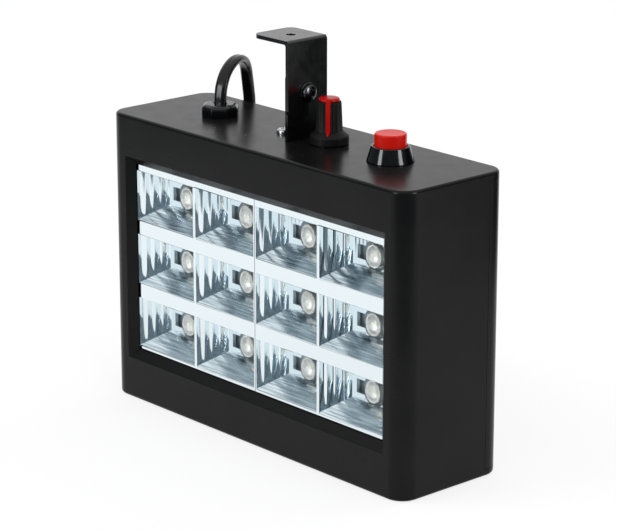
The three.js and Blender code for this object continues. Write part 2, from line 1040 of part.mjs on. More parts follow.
// An angle of folded sheet in X and Z, with a round bend. The upright stands on the right.
function angleProfile(uprightX, uprightFar, flatEndX, flatFaceZ, flatSide) {
  const outerX = uprightX + bracket.sheet;
  const innerZ = flatFaceZ - flatSide * bracket.sheet;
  const outerBend = bracket.bendRadius;
  const innerBend = bracket.bendRadius - bracket.sheet;
  const points = [
    new THREE.Vector2(uprightX, uprightFar),
    new THREE.Vector2(outerX, uprightFar),
  ];
  const arc = (centreX, centreZ, radius, from, to) => {
    for (let i = 0; i <= facets.edge; i += 1) {
      const angle = from + ((to - from) * i) / facets.edge;
      points.push(new THREE.Vector2(
        centreX + radius * Math.cos(angle),
        centreZ + flatSide * radius * Math.sin(angle),
      ));
    }
  };
  const centreX = outerX - outerBend;
  const centreZ = flatFaceZ - flatSide * outerBend;
  arc(centreX, centreZ, outerBend, 0, quarterTurn);
  points.push(new THREE.Vector2(flatEndX, flatFaceZ));
  points.push(new THREE.Vector2(flatEndX, innerZ));
  arc(centreX, centreZ, innerBend, quarterTurn, 0);
  return flatSide > 0 ? points : points.reverse();
}

// Rounds two corners of a plate outline at the end named by its sign, seen square to the plate
function roundEnded(halfWidth, near, far) {
  const sign = Math.sign(far - near);
  const radius = bracket.cornerRadius;
  const points = [new THREE.Vector2(halfWidth, near), new THREE.Vector2(-halfWidth, near)];
  for (const side of [-1, 1]) {
    for (let i = 0; i <= facets.corner; i += 1) {
      const angle = (quarterTurn * i) / facets.corner;
      const across = side < 0 ? Math.cos(angle) : Math.sin(angle);
      const reach = side < 0 ? Math.sin(angle) : Math.cos(angle);
      points.push(new THREE.Vector2(
        side * (halfWidth - radius + radius * across),
        far - sign * radius + sign * radius * reach,
      ));
    }
  }
  return sign > 0 ? points.reverse() : points;
}

function mountingEar() {
  const footFaceZ = plateUndersideZ - fit.seat - bracket.sheet;
  const earTopZ = topZ + bracket.earHeight;
  const flatEndX = bracket.earX - bracket.footLength;
  const half = bracket.earWidth / 2;
  const profile = angleProfile(bracket.earX, earTopZ, flatEndX, footFaceZ, -1);
  const sheet = toSolid(prismAlongY(outlineShape(profile), -half, half));
  const face = roundEnded(half, footFaceZ - overrun, earTopZ);
  const plan = roundEnded(half, earFaceX + overrun, flatEndX)
    .map((point) => new THREE.Vector2(point.y, -point.x));
  const solid = sheet
    .intersect(toSolid(prismAlongX(outlineShape(face), flatEndX - overrun, earFaceX + overrun)))
    .intersect(toSolid(prismAlongZ(outlineShape(plan), footFaceZ - overrun, earTopZ + overrun)))
    .translate([0, bracket.y, 0]);
  const lowX = bracket.earX - overrun;
  return cutAway(
    solid,
    boreAlongX(pivotScrew.radius + fit.slip, lowX, earFaceX + overrun, bracket.y, pivotZ),
    bore(footScrew.radius + fit.slip, footFaceZ - overrun, topZ, facets.small)
      .translate(bracket.footHoleX, bracket.y, 0),
  );
}

function mountingArm() {
  const flangeTopZ = topZ + bracket.armHeight;
  const armEndZ = pivotZ - bracket.endReach;
  const flatEndX = armFaceX - bracket.flangeLength;
  const half = bracket.armWidth / 2;
  const profile = angleProfile(armBackX, armEndZ, flatEndX, flangeTopZ, 1);
  const sheet = toSolid(prismAlongY(outlineShape(profile), -half, half));
  const face = roundEnded(half, flangeTopZ + overrun, armEndZ);
  const plan = roundEnded(half, armFaceX + overrun, flatEndX)
    .map((point) => new THREE.Vector2(point.y, -point.x));
  const solid = sheet
    .intersect(toSolid(prismAlongX(outlineShape(face), flatEndX - overrun, armFaceX + overrun)))
    .intersect(toSolid(prismAlongZ(outlineShape(plan), armEndZ - overrun, flangeTopZ + overrun)))
    .translate([0, bracket.y, 0]);
  return cutAway(
    solid,
    boreAlongX(pivotScrew.radius + fit.slip, bracket.earX, armFaceX + overrun, bracket.y, pivotZ),
    bore(bracket.flangeHoleRadius, armEndZ, flangeTopZ + overrun, facets.round)
      .translate(bracket.flangeHoleX, bracket.y, 0),
  );
}

// Everything on the pivot is built along Z and turned to X together
function placePivot() {
  const place = new THREE.Group();
  place.position.set(0, bracket.y, pivotZ);
  place.rotation.y = quarterTurn;
  group.add(place);

  const washerX = armFaceX + fit.seat;
  const hole = pivotScrew.radius + fit.slip;
  const washer = cutAway(
    toSolid(rod(pivotWasher.radius, washerX, washerX + pivotWasher.thickness, facets.round)),
    bore(hole, washerX - overrun, washerX + pivotWasher.thickness + overrun, facets.round),
  );
  addPiece('pivot_washer', washer, finishes.zincSteel(), place);

  const headX = washerX + pivotWasher.thickness + fit.seat;
  const nutX = bracket.earX - fit.seat - pivotNut.thickness;
  const length = headX - nutX + pivotScrew.tail;
  const screw = panScrew(pivotScrew, length).translate([0, 0, headX]);
  addPiece('pivot_screw', screw, finishes.zincSteel(), place);

  const nut = hexNut(pivotNut.acrossFlats, pivotNut.thickness, hole).translate([0, 0, nutX]);
  addPiece('pivot_nut', nut, finishes.zincSteel(), place);
}

function placeFootFastener() {
  const nutZ = plateUndersideZ - fit.seat - bracket.sheet - fit.seat - footNut.thickness;
  const headZ = topZ + fit.seat;
  const length = headZ - nutZ + footScrew.tail;
  const hole = footScrew.radius + fit.slip;
  const screw = panScrew(footScrew, length).translate([bracket.footHoleX, bracket.y, headZ]);
  const nut = hexNut(footNut.acrossFlats, footNut.thickness, hole)
    .translate([bracket.footHoleX, bracket.y, nutZ]);
  addPiece('bracket_foot_screw', screw, finishes.zincSteel());
  addPiece('bracket_foot_nut', nut, finishes.zincSteel());
}

// Screws of the case and the boards

function placeScrews() {
  coverScrewPlaces().forEach(([x, z], index) => {
    const screw = panScrew(caseScrew, caseScrew.length);
    const mesh = addPiece(`cover_screw_${index + 1}`, screw, finishes.zincSteel());
    mesh.rotation.x = -quarterTurn;
    mesh.position.set(x, backY - cover.recessDepth + fit.seat, z);
  });
  ledBoardScrewPlaces().forEach(([x, z], index) => {
    const screw = panScrew(boardScrew, boardScrew.length);
    const mesh = addPiece(`led_board_screw_${index + 1}`, screw, finishes.zincSteel());
    mesh.rotation.x = -quarterTurn;
    mesh.position.set(x, ledBoardBackY + fit.seat, z);
  });
  driverBoardPostPlaces().forEach(([x, z], index) => {
    const screw = panScrew(boardScrew, boardScrew.length);
    const mesh = addPiece(`driver_board_screw_${index + 1}`, screw, finishes.zincSteel());
    mesh.rotation.x = quarterTurn;
    mesh.position.set(x, driverBoardFrontY - fit.seat, z);
  });
}

// Knob and potentiometer

function flutedOutline(radius) {
  const points = [];
  const steps = knob.flutes * 4;
  const waves = [0, 1, 1, 0];
  for (let i = 0; i < steps; i += 1) {
    const angle = (fullTurn * i) / steps;
    const local = radius - knob.fluteDepth * waves[i % waves.length];
    points.push(new THREE.Vector2(local * Math.cos(angle), local * Math.sin(angle)));
  }
  return points;
}

// The knob is built with its pointer towards +X and its underside on Z = 0
function knobShape() {
  const skirt = turned([
    [0, 0],
    [knob.skirtRadius, 0],
    [knob.skirtRadius, knob.skirtSide],
    [knob.bodyBottomRadius, knob.skirtTop],
    [0, knob.skirtTop],
  ], facets.round);
  const body = loft([
    { outline: flutedOutline(knob.bodyBottomRadius), z: knob.skirtSide },
    { outline: flutedOutline(knob.bodyTopRadius), z: knob.bodyTop },
  ]);
  const shaft = potentiometer.shaftRadius + fit.slip;
  const plugFloor = knob.bodyTop - knobCap.plugDepth - fit.slip;
  const solid = cutAway(
    join(skirt, body),
    bore(knob.hollowRadius, -overrun, knob.hollowDepth, facets.round),
    bore(shaft, 0, knob.boreDepth, facets.round),
    bore(knobCap.plugRadius + fit.slip, plugFloor, knob.bodyTop + overrun, facets.round),
  );
  return solid.subtract(pointerBar(fit.slip, overrun));
}

// The red pointer that lies in a groove down the side of the knob
function pointerBar(margin, above) {
  const half = knobCap.pointerWidth / 2 + margin;
  const bottom = knob.skirtTop;
  const outerLow = knob.bodyBottomRadius + knobCap.pointerProud;
  const outerHigh = knob.bodyTopRadius + knobCap.pointerProud;
  const innerLow = outerLow - knobCap.pointerDepth - margin;
  const innerHigh = outerHigh - knobCap.pointerDepth - margin;
  const low = bottom - margin;
  const high = knob.bodyTop + above;
  const side = outlineShape([
    new THREE.Vector2(innerLow, low),
    new THREE.Vector2(outerLow + margin, low),
    new THREE.Vector2(outerHigh + margin, high),
    new THREE.Vector2(innerHigh, high),
  ]);
  return toSolid(prismAlongY(side, -half, half));
}

function knobCapShape() {
  const base = knob.bodyTop + fit.seat;
  const crown = base + knobCap.thickness;
  const rim = knobCap.thickness / 2;
  const cap = turned([
    [0, knob.bodyTop - knobCap.plugDepth],
    [knobCap.plugRadius, knob.bodyTop - knobCap.plugDepth],
    [knobCap.plugRadius, base],
    [knobCap.radius, base],
    [knobCap.radius, base + rim],
    [knobCap.radius - rim, crown],
    [0, crown],
  ], facets.round);
  const bar = pointerBar(0, knobCap.thickness / 2);
  const half = knobCap.pointerWidth / 2;
  const outer = knob.bodyBottomRadius + knobCap.pointerProud;
  const tip = outlineShape([
    new THREE.Vector2(outer - knobCap.pointerDepth, -half),
    new THREE.Vector2(outer, -half),
    new THREE.Vector2(outer + knobCap.pointerTip, 0),
    new THREE.Vector2(outer, half),
    new THREE.Vector2(outer - knobCap.pointerDepth, half),
  ]);
  const tipBase = knob.skirtTop + fit.seat;
  const arrow = prismAlongZ(tip, tipBase, tipBase + knobCap.pointerProud);
  return toSolid(cap).add(bar).add(toSolid(arrow));
}

function placeKnob() {
  const turn = new THREE.Group();
  turn.position.set(knob.x, knob.y, topZ + knob.lift);
  turn.rotation.z = -quarterTurn + THREE.MathUtils.degToRad(knob.pointerAngle);
  group.add(turn);
  addPiece('speed_knob', knobShape(), finishes.knobBlack(), turn);
  addPiece('knob_cap', knobCapShape(), finishes.redPlastic(), turn);
}

function placePotentiometer() {
  const place = new THREE.Group();
  place.position.set(knob.x, knob.y, topZ);
  group.add(place);
  const bodyTop = -housing.wall - fit.seat;
  const bodyBottom = bodyTop - potentiometer.bodyHeight;
  const halfWidth = potentiometer.bodyWidth / 2;
  const halfDepth = potentiometer.bodyDepth / 2;
  const pins = [];
  for (const index of [-1, 0, 1]) {
    const x = index * potentiometer.pinSpacing;
    const half = potentiometer.pinWidth / 2;
    pins.push(block(
      [x - half, -half, bodyBottom - potentiometer.pinLength],
      [x + half, half, bodyBottom + fit.loose],
    ));
  }
  const collarLow = bodyBottom + potentiometer.collarHeight;
  const collarHigh = collarLow + potentiometer.collarHeight;
  const shaftHole = potentiometer.shaftRadius + fit.slip;
  const collarHole = potentiometer.collarRadius + fit.loose;
  const solid = cutAway(
    join(
      block([-halfWidth, -halfDepth, bodyBottom], [halfWidth, halfDepth, bodyTop]),
      rod(potentiometer.bushRadius, bodyTop - fit.loose, potentiometer.bushRise, facets.round),
      ...pins,
    ),
    bore(shaftHole, collarLow, potentiometer.bushRise + overrun, facets.round),
    bore(collarHole, collarLow - fit.loose, collarHigh + fit.loose, facets.round),
  );
  addPiece('potentiometer', solid, finishes.partBlack(), place);

  const shaftTop = potentiometer.shaftRise;
  const shaft = turned([
    [0, collarLow],
    [potentiometer.collarRadius, collarLow],
    [potentiometer.collarRadius, collarHigh],
    [potentiometer.shaftRadius, collarHigh],
    [potentiometer.shaftRadius, shaftTop],
    [0, shaftTop],
  ], facets.round);
  addPiece('potentiometer_shaft', shaft, finishes.zincSteel(), place);

  const hole = potentiometer.bushRadius + fit.slip;
  const washer = cutAway(
    toSolid(rod(potWasher.radius, fit.seat, fit.seat + potWasher.thickness, facets.round)),
    bore(hole, -overrun, potWasher.thickness + overrun, facets.round),
  );
  addPiece('potentiometer_washer', washer, finishes.zincSteel(), place);
  const nut = hexNut(potNut.acrossFlats, potNut.thickness, hole)
    .translate([0, 0, fit.seat + potWasher.thickness + fit.seat]);
  addPiece('potentiometer_nut', nut, finishes.zincSteel(), place);
}

// Push button

function buttonCapShape() {
  const ceiling = button.capTop - button.capCeiling;
  return turned([
    [0, button.capBottom - button.stemDrop],
    [button.stemRadius, button.capBottom - button.stemDrop],
    [button.stemRadius, ceiling],
    [button.capRadius - button.capWall, ceiling],
    [button.capRadius - button.capWall, button.capBottom],
    [button.capRadius, button.capBottom],
    [button.capRadius, button.capTop - button.capEdge],
    [button.capRadius - button.capEdge, button.capTop],
    [0, button.capTop],
  ], facets.round);
}

function buttonBodyShape() {
  return turned([
    [0, -button.baseLength],
    [button.baseRadius, -button.baseLength],
    [button.baseRadius, -button.barrelLength],
    [button.barrelRadius, -button.barrelLength],
    [button.barrelRadius, fit.seat],
    [button.lipRadius, fit.seat],
    [button.lipRadius, button.lipHeight],
    [button.bezelTopRadius, button.bezelHeight],
    [button.boreRadius, button.bezelHeight],
    [button.boreRadius, -button.boreDepth],
    [0, -button.boreDepth],
  ], facets.round);
}

// A closed tube round a list of points. The section turns with the tube and keeps its first
// axis level and its second axis upright.
function tubeAlong(points, section) {
  const up = new THREE.Vector3(0, 0, 1);
  const positions = [];
  points.forEach((point, index) => {
    const before = points[Math.max(index - 1, 0)];
    const after = points[Math.min(index + 1, points.length - 1)];
    const along = after.clone().sub(before).normalize();
    const across = along.clone().cross(up).normalize();
    const rise = across.clone().cross(along);
    for (const corner of section) {
      const place = point.clone()
        .addScaledVector(across, corner.x)
        .addScaledVector(rise, corner.y);
      positions.push(place.x, place.y, place.z);
    }
  });
  const count = section.length;
  const indices = [];
  for (let level = 0; level < points.length - 1; level += 1) {
    for (let i = 0; i < count; i += 1) {
      const a = level * count + i;
      const b = level * count + ((i + 1) % count);
      indices.push(a, b + count, b, a, a + count, b + count);
    }
  }
  const last = (points.length - 1) * count;
  for (let i = 1; i < count - 1; i += 1) {
    indices.push(0, i, i + 1, last, last + i + 1, last + i);
  }
  const geometry = new THREE.BufferGeometry();
  geometry.setAttribute('position', new THREE.Float32BufferAttribute(positions, 3));
  geometry.setIndex(indices);
  geometry.computeVertexNormals();
  return geometry;
}

function springShape() {
  const low = -button.boreDepth + buttonSpring.wireRadius + fit.seat;
  const high = button.capTop - button.capCeiling - buttonSpring.wireRadius - fit.seat;
  const steps = buttonSpring.turns * facets.springSteps;
  const points = [];
  for (let i = 0; i <= steps; i += 1) {
    const angle = (fullTurn * i) / facets.springSteps;
    points.push(new THREE.Vector3(
      buttonSpring.coilRadius * Math.cos(angle),
      buttonSpring.coilRadius * Math.sin(angle),
      low + ((high - low) * i) / steps,
    ));
  }
  return tubeAlong(points, polygon(buttonSpring.wireRadius, facets.springSides));
}

function placeButton() {
  const place = new THREE.Group();
  place.position.set(button.x, button.y, topZ);
  group.add(place);
  addPiece('button_body', buttonBodyShape(), finishes.glossBlack(), place);
  addPiece('button_cap', buttonCapShape(), finishes.redPlastic(), place);
  addPiece('button_spring', springShape(), finishes.springSteel(), place);
  const nutTop = -housing.wall - fit.seat;
  const nut = hexNut(buttonNut.acrossFlats, buttonNut.thickness, button.barrelRadius + fit.slip)
    .translate([0, 0, nutTop - buttonNut.thickness]);
  addPiece('button_nut', nut, finishes.zincSteel(), place);
  const tabTop = -button.baseLength - fit.seat;
  const halfWidth = button.tabWidth / 2;
  const halfThickness = button.tabThickness / 2;
  for (const [name, side] of [['button_tab_left', -1], ['button_tab_right', 1]]) {
    const x = (side * button.tabSpacing) / 2;
    const tab = block(
      [x - halfThickness, -halfWidth, tabTop - button.tabLength],
      [x + halfThickness, halfWidth, tabTop],
    );
    addPiece(name, tab, finishes.brass(), place);
  }
}

// Strain relief, cord, coil and plug

function bushingShape() {
  const sides = 8;
  const turnShare = Math.PI / sides;
  const radiusOf = (acrossFlats) => acrossFlats / (2 * Math.cos(turnShare));
  const full = polygon(radiusOf(bushing.acrossFlats), sides, turnShare);
  const small = polygon(radiusOf(bushing.acrossFlats - 2 * bushing.headEdge), sides, turnShare);
  const head = loft([
    { outline: full, z: fit.seat },
    { outline: full, z: bushing.headHeight - bushing.headEdge },
    { outline: small, z: bushing.headHeight },
  ]);
  const collarTop = -housing.wall - fit.seat;
  const collarBottom = collarTop - bushing.collarHeight;
  const neck = rod(bushing.neckRadius, collarBottom, fit.seat + overrun, facets.round);
  const collar = turned([
    [0, collarBottom],
    [bushing.neckRadius, collarBottom],
    [bushing.collarRadius, collarTop],
    [0, collarTop],
  ], facets.round);
  const half = bushing.acrossFlats;
  const grooveHalf = bushing.slotWidth / 2;
  const grooveLow = bushing.headHeight - bushing.slotDepth;
  const seatOutline = cordSection(fit.loose, cordTurn());
  return cutAway(
    join(head, neck, collar),
    block([-half, -grooveHalf, grooveLow], [half, grooveHalf, bushing.headHeight + overrun]),
    prismAlongZ(
      outlineShape(seatOutline),
      bushing.headHeight - cord.seatDepth,
      bushing.headHeight + overrun,
    ),
  );
}

// Plan angle of the cord's broad side where it leaves the bushing, square to its arch
function cordTurn() {
  const route = cordRoute();
  const first = route[0];
  const last = route[cordArchPoints];
  return Math.atan2(last.y - first.y, last.x - first.x) - quarterTurn;
}

// A flat oval outline with its broad side along the given angle
function cordSection(margin, angle) {
  const halfWidth = cord.width / 2 + margin;
  const halfThickness = cord.thickness / 2 + margin;
  const turn = new THREE.Vector2(0, 0);
  return polygon(1, facets.cordSides, Math.PI / facets.cordSides).map((point) => {
    const stretch = 1 / Math.cos(Math.PI / facets.cordSides);
    return new THREE.Vector2(point.x * halfWidth * stretch, point.y * halfThickness * stretch)
      .rotateAround(turn, angle);
  });
}

// The cord's way from the bushing over the rear edge and down to its coil.
// The first points are the photographed arch, measured from the top of the housing.
const cordArchPoints = 9;

function cordRoute() {
  const seatZ = bushing.headHeight - cord.seatDepth + fit.loose;
  const arch = [
    [bushing.x, bushing.y, seatZ],
    [-39.4, 1.9, 4.6],
    [-39.7, 2.5, 8.2],
    [-40.7, 5, 12.3],
    [-42.3, 9.1, 14.9],
    [-44.5, 13.6, 15.4],
    [-47, 17.7, 14],
    [-49.5, 21, 10.9],
    [-51.5, 23.3, 6.7],
    [-52.7, 24.9, 2],
    [-53.3, 25.8, -3],
  ].map(([x, y, z]) => new THREE.Vector3(x, y, topZ + z));
  const fall = [
    [-53.7, 26.2, 76],
    [-53.9, 26.3, 58],
    [-54, 26.3, 40],
    [-54, 26.4, 26],
    [-54.2, 27.2, 16.5],
    [-55, 30.2, 8.6],
    [-56.5, 36, 3.9],
  ].map(([x, y, z]) => new THREE.Vector3(x, y, z));
  const { start, heading } = coilEntry();
  const end = start.clone().addScaledVector(heading, -fit.loose);
  const beforeEnd = end.clone().addScaledVector(heading, -cord.width);
  return [...arch, ...fall, beforeEnd, end];
}

function coilHeading(angle) {
  return new THREE.Vector3(Math.sin(angle), -Math.cos(angle), 0);
}

function coilPoint(angle, radius, z) {
  return new THREE.Vector3(
    coil.x + radius * Math.cos(angle),
    coil.y + radius * Math.sin(angle),
    z,
  );
}

function coilEntry() {
  const angle = THREE.MathUtils.degToRad(coil.entryAngle);
  const heading = coilHeading(angle);
  const start = coilPoint(angle, coil.outerRadius, coilLowZ).addScaledVector(heading, -cord.width);
  return { start, heading };
}

// From the end of the upper layer the cord climbs outside the turns, then bends in over the
// coil to the plug that lies on it. X and Y run from the coil's centre, and the third value
// is the share of the climb.
function tailPoints() {
  const angle = THREE.MathUtils.degToRad(coil.exitAngle);
  const exit = coilPoint(angle, coil.outerRadius, coilHighZ);
  const lead = exit.clone().addScaledVector(coilHeading(angle), -cord.width);
  const tail = [
    [9, 27.9, 0.1],
    [17.5, 24, 0.24],
    [24.6, 17.6, 0.39],
    [29, 10, 0.5],
    [30.4, 3, 0.57],
    [30.2, -3, 0.64],
    [28, -9, 0.73],
    [23.5, -13.2, 0.84],
    [17, -15, 1],
    [13, -15, 1],
  ].map(([x, y, climbShare]) => new THREE.Vector3(
    coil.x + x,
    coil.y + y,
    THREE.MathUtils.lerp(coilHighZ, plugZ, climbShare),
  ));
  const curve = new THREE.CatmullRomCurve3([lead, exit, ...tail], false, 'centripetal');
  const spans = tail.length + 1;
  const steps = spans * facets.tailSteps;
  const points = [];
  for (let i = facets.tailSteps + 1; i <= steps; i += 1) {
    points.push(curve.getPoint(i / steps));
  }
  return points;
}

// The turns spiral in on the lower layer, climb in the half turn where they reverse,
// and spiral out again on the upper layer
function coilPoints() {
  const entry = THREE.MathUtils.degToRad(coil.entryAngle);
  const extraShare = (coil.entryAngle - coil.exitAngle) / 360;
  const turns = coil.turns + extraShare;
  const middle = turns / 2;
  const steps = Math.round(turns * facets.coilSteps);
  const points = [coilEntry().start];
  for (let i = 0; i <= steps; i += 1) {
    const turn = (turns * i) / steps;
    const radius = coil.outerRadius - coil.turnPitch * (middle - Math.abs(turn - middle));
    const climb = THREE.MathUtils.clamp((turn - middle) * 2 + 0.5, 0, 1);
    const z = THREE.MathUtils.lerp(coilLowZ, coilHighZ, climb);
    points.push(coilPoint(entry - turn * fullTurn, radius, z));
  }
  return [...points, ...tailPoints()];
}

function coilSection() {
  const halfWidth = cord.width / 2;
  const halfThickness = cord.thickness / 2;
  return [
    new THREE.Vector2(halfThickness, -halfWidth / 2),
    new THREE.Vector2(halfThickness, halfWidth / 2),
    new THREE.Vector2(0, halfWidth),
    new THREE.Vector2(-halfThickness, halfWidth / 2),
    new THREE.Vector2(-halfThickness, -halfWidth / 2),
    new THREE.Vector2(0, -halfWidth),
  ];
}

// Least distance between points of the tube that are more than half a turn apart
function leastCoilGap(geometry) {
  const place = geometry.attributes.position;
  const perTurn = facets.coilSteps * facets.coilSides;
  let least = Infinity;
  const a = new THREE.Vector3();
  const b = new THREE.Vector3();
  for (let i = 0; i < place.count; i += 1) {
    a.fromBufferAttribute(place, i);
    for (let j = i + perTurn / 2; j < place.count; j += 1) {
      least = Math.min(least, a.distanceTo(b.fromBufferAttribute(place, j)));
    }
  }
  return least;
}

function placeCord() {
  const route = cordRoute();
  const curve = new THREE.CatmullRomCurve3(route, false, 'centripetal');
  const section = outlineShape(cordSection(0, cordTurn()));
  const lead = new THREE.ExtrudeGeometry(section, {
    steps: facets.cordSteps,
    bevelEnabled: false,
    extrudePath: curve,
  });
  addPiece('mains_cord', lead, finishes.cordBlack());

  const points = coilPoints();
  const winding = tubeAlong(points, coilSection());
  addPiece('cord_coil', winding, finishes.cordBlack());
  let length = 0;
  for (let i = 1; i < points.length; i += 1) {
    length += points[i].distanceTo(points[i - 1]);
  }
  console.log(`cord: free ${curve.getLength().toFixed(0)} mm, coiled ${length.toFixed(0)} mm`);
  console.log(`least gap between the coil's turns: ${leastCoilGap(winding).toFixed(2)} mm`);
}

// A flat band round the bundle of turns
function tieShape() {
  const turns = coil.turns + (coil.entryAngle - coil.exitAngle) / 360;
  const innerTurn = coil.outerRadius - (coil.turnPitch * turns) / 2;
  const lowR = innerTurn - cord.thickness / 2 - fit.loose;
  const highR = coil.outerRadius + cord.thickness / 2 + fit.loose;
  const lowZ = tie.thickness;
  const highZ = coilTopZ + fit.loose;
  const outer = rectangle(lowR - tie.thickness, 0, highR + tie.thickness, highZ + tie.thickness);
  const inner = rectangle(lowR, lowZ, highR, highZ);
  const half = tie.width / 2;
  return cutAway(
    toSolid(prismAlongY(outer, -half, half)),
    prismAlongY(inner, -half - overrun, half + overrun),
  );
}

function placeTie() {
  const mesh = addPiece('cord_tie', tieShape(), finishes.tieBlack());
  mesh.position.set(coil.x, coil.y, 0);
  mesh.rotation.z = THREE.MathUtils.degToRad(tie.angle);
}

// The plug is built along X from the end of the cord and turned to follow it
function plugBodyShape() {
  const halfThickness = plug.bodyThickness / 2;
  const halfWidth = plug.bodyWidth / 2;
  const outlineAt = (halfAcross, halfUp, radius) => (
    roundedOutline(halfAcross, halfUp, radius, facets.edge)
  );
  const reliefEnd = plug.reliefLength;
  const shoulderEnd = reliefEnd + plug.shoulder;
  const end = reliefEnd + plug.bodyLength;
  const front = plug.bodyRadius / 2;
  return loft([
    { outline: outlineAt(plug.reliefStart, plug.reliefStart, plug.reliefStart / 2), z: 0 },
    { outline: outlineAt(plug.reliefEnd, plug.reliefEnd, plug.reliefEnd / 2), z: reliefEnd },
    { outline: outlineAt(halfWidth, halfThickness, plug.bodyRadius), z: shoulderEnd },
    { outline: outlineAt(halfWidth, halfThickness, plug.bodyRadius), z: end - front },
    { outline: outlineAt(halfWidth - front, halfThickness - front, front), z: end },
  ]);
}

function placePlug() {
  const tail = tailPoints();
  const end = tail.at(-1);
  const heading = end.clone().sub(tail.at(-2)).normalize();
  const place = new THREE.Group();
  place.position.copy(end).addScaledVector(heading, fit.loose);
  place.position.z = plugZ;
  place.rotation.z = Math.atan2(heading.y, heading.x);
  group.add(place);
  const lay = new THREE.Matrix4().makeBasis(
    new THREE.Vector3(0, 1, 0),
    new THREE.Vector3(0, 0, 1),
    new THREE.Vector3(1, 0, 0),
  );
  addPiece('plug_body', plugBodyShape().applyMatrix4(lay), finishes.cordBlack(), place);

  const startX = plug.reliefLength + plug.bodyLength + fit.seat;
  const endX = startX + plug.bladeLength;
  const halfWidth = plug.bladeWidth / 2;
  const edge = plug.bladeEdge;
  const blade = outlineShape([
    new THREE.Vector2(startX, -halfWidth),
    new THREE.Vector2(endX - edge, -halfWidth),
    new THREE.Vector2(endX, edge - halfWidth),
    new THREE.Vector2(endX, halfWidth - edge),
    new THREE.Vector2(endX - edge, halfWidth),
    new THREE.Vector2(startX, halfWidth),
  ]);
  const halfThickness = plug.bladeThickness / 2;
  for (const [name, side] of [['plug_blade_left', -1], ['plug_blade_right', 1]]) {
    const y = (side * plug.bladeSpacing) / 2;
    const shape = prismAlongY(blade, y - halfThickness, y + halfThickness);
    addPiece(name, shape, finishes.brass(), place);
  }
}

// Assembly

addPiece('front_housing', frontHousing(), finishes.satinBlack());
addPiece('rear_cover', rearCover(), finishes.satinBlack());
addPiece('reflector_left', reflector(-1), finishes.chromedTray());
addPiece('reflector_right', reflector(1), finishes.chromedTray());
placeLeds();
addPiece('led_board', ledBoardShape(), finishes.boardWhite());
addPiece('driver_board', driverBoardShape(), finishes.boardGreen());
const filmCapacitorShape = boardBox(filmCapacitor, boardSpace - filmCapacitor.headroom);
addPiece('film_capacitor', filmCapacitorShape, finishes.partYellow());
addPiece('electrolytic_capacitor', electrolyticShape(), finishes.partBlue());
addPiece('rectifier', boardBox(rectifier, rectifier.thickness), finishes.partBlack());
const chipShape = boardBox(controllerChip, controllerChip.thickness);
addPiece('controller_chip', chipShape, finishes.partBlack());
placeScrews();
addPiece('mounting_ear', mountingEar(), finishes.blackSteel());
addPiece('mounting_arm', mountingArm(), finishes.blackSteel());
placePivot();
placeFootFastener();
placeKnob();
placePotentiometer();
placeButton();
const bushingPiece = addPiece('strain_relief', bushingShape(), finishes.glossBlack());
bushingPiece.position.set(bushing.x, bushing.y, topZ);
placeCord();
placeTie();
placePlug();

export default group;
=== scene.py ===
# %% [markdown]
# # A small room strobe light
#
# The light is a black moulded box that stands upright. A window in its front shows two chromed
# trays of reflector cells, each with one LED. On top sit a strain relief with the flat cord, a
# two-piece hanging bracket, a speed knob and a push button.
#
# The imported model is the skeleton. It gives every piece its size and place, so the pieces below
# read their places from it and add the finish and the fine shapes.

# %% Load the fixed frame
import json
import math

import bmesh
import bpy
from mathutils import Matrix, Vector


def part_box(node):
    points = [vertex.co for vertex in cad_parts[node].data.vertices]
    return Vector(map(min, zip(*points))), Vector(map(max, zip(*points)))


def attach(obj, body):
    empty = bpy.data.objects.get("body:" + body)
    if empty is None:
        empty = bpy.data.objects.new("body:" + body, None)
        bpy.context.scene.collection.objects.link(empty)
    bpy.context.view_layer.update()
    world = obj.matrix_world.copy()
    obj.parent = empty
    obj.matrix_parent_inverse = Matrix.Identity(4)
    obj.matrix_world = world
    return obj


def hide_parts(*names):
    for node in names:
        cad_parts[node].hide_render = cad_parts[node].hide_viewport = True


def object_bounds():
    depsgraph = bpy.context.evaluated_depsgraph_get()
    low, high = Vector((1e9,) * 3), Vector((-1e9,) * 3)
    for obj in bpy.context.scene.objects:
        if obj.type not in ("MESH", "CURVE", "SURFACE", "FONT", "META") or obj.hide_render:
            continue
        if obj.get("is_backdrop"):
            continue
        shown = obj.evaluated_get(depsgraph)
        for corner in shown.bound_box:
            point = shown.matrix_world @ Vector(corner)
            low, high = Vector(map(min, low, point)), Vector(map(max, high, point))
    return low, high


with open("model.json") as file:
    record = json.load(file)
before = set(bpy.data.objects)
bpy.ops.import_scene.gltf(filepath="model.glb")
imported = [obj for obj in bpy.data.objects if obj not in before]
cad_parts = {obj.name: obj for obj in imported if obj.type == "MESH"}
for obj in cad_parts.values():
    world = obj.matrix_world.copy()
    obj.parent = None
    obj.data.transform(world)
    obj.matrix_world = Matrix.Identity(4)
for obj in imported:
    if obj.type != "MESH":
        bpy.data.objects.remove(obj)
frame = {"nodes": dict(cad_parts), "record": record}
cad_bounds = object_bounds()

mm = 0.001
up = Vector((0, 0, 1))
print("the frame's box in mm:", [[round(v / mm, 1) for v in corner] for corner in cad_bounds])


def node_box(node):
    """The lowest and highest corner of a node of the frame."""
    low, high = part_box(node)
    return Vector(low), Vector(high)


def middle(node):
    low, high = node_box(node)
    return (low + high) / 2


housing_low, housing_high = node_box("front_housing")
top_z = housing_high.z
front_y = housing_low.y
back_y = housing_high.y
half_width = housing_high.x

# %% [markdown]
# ## Camera
#
# The photo was taken with a long lens from about 0.83 m, to the right of the front and a little
# above. The straight edges of the box fix the camera: its place, its two angles and its lens.
# A camera that looks along +Y has no turn, so the azimuth turns it about Z and the elevation
# tips it down.

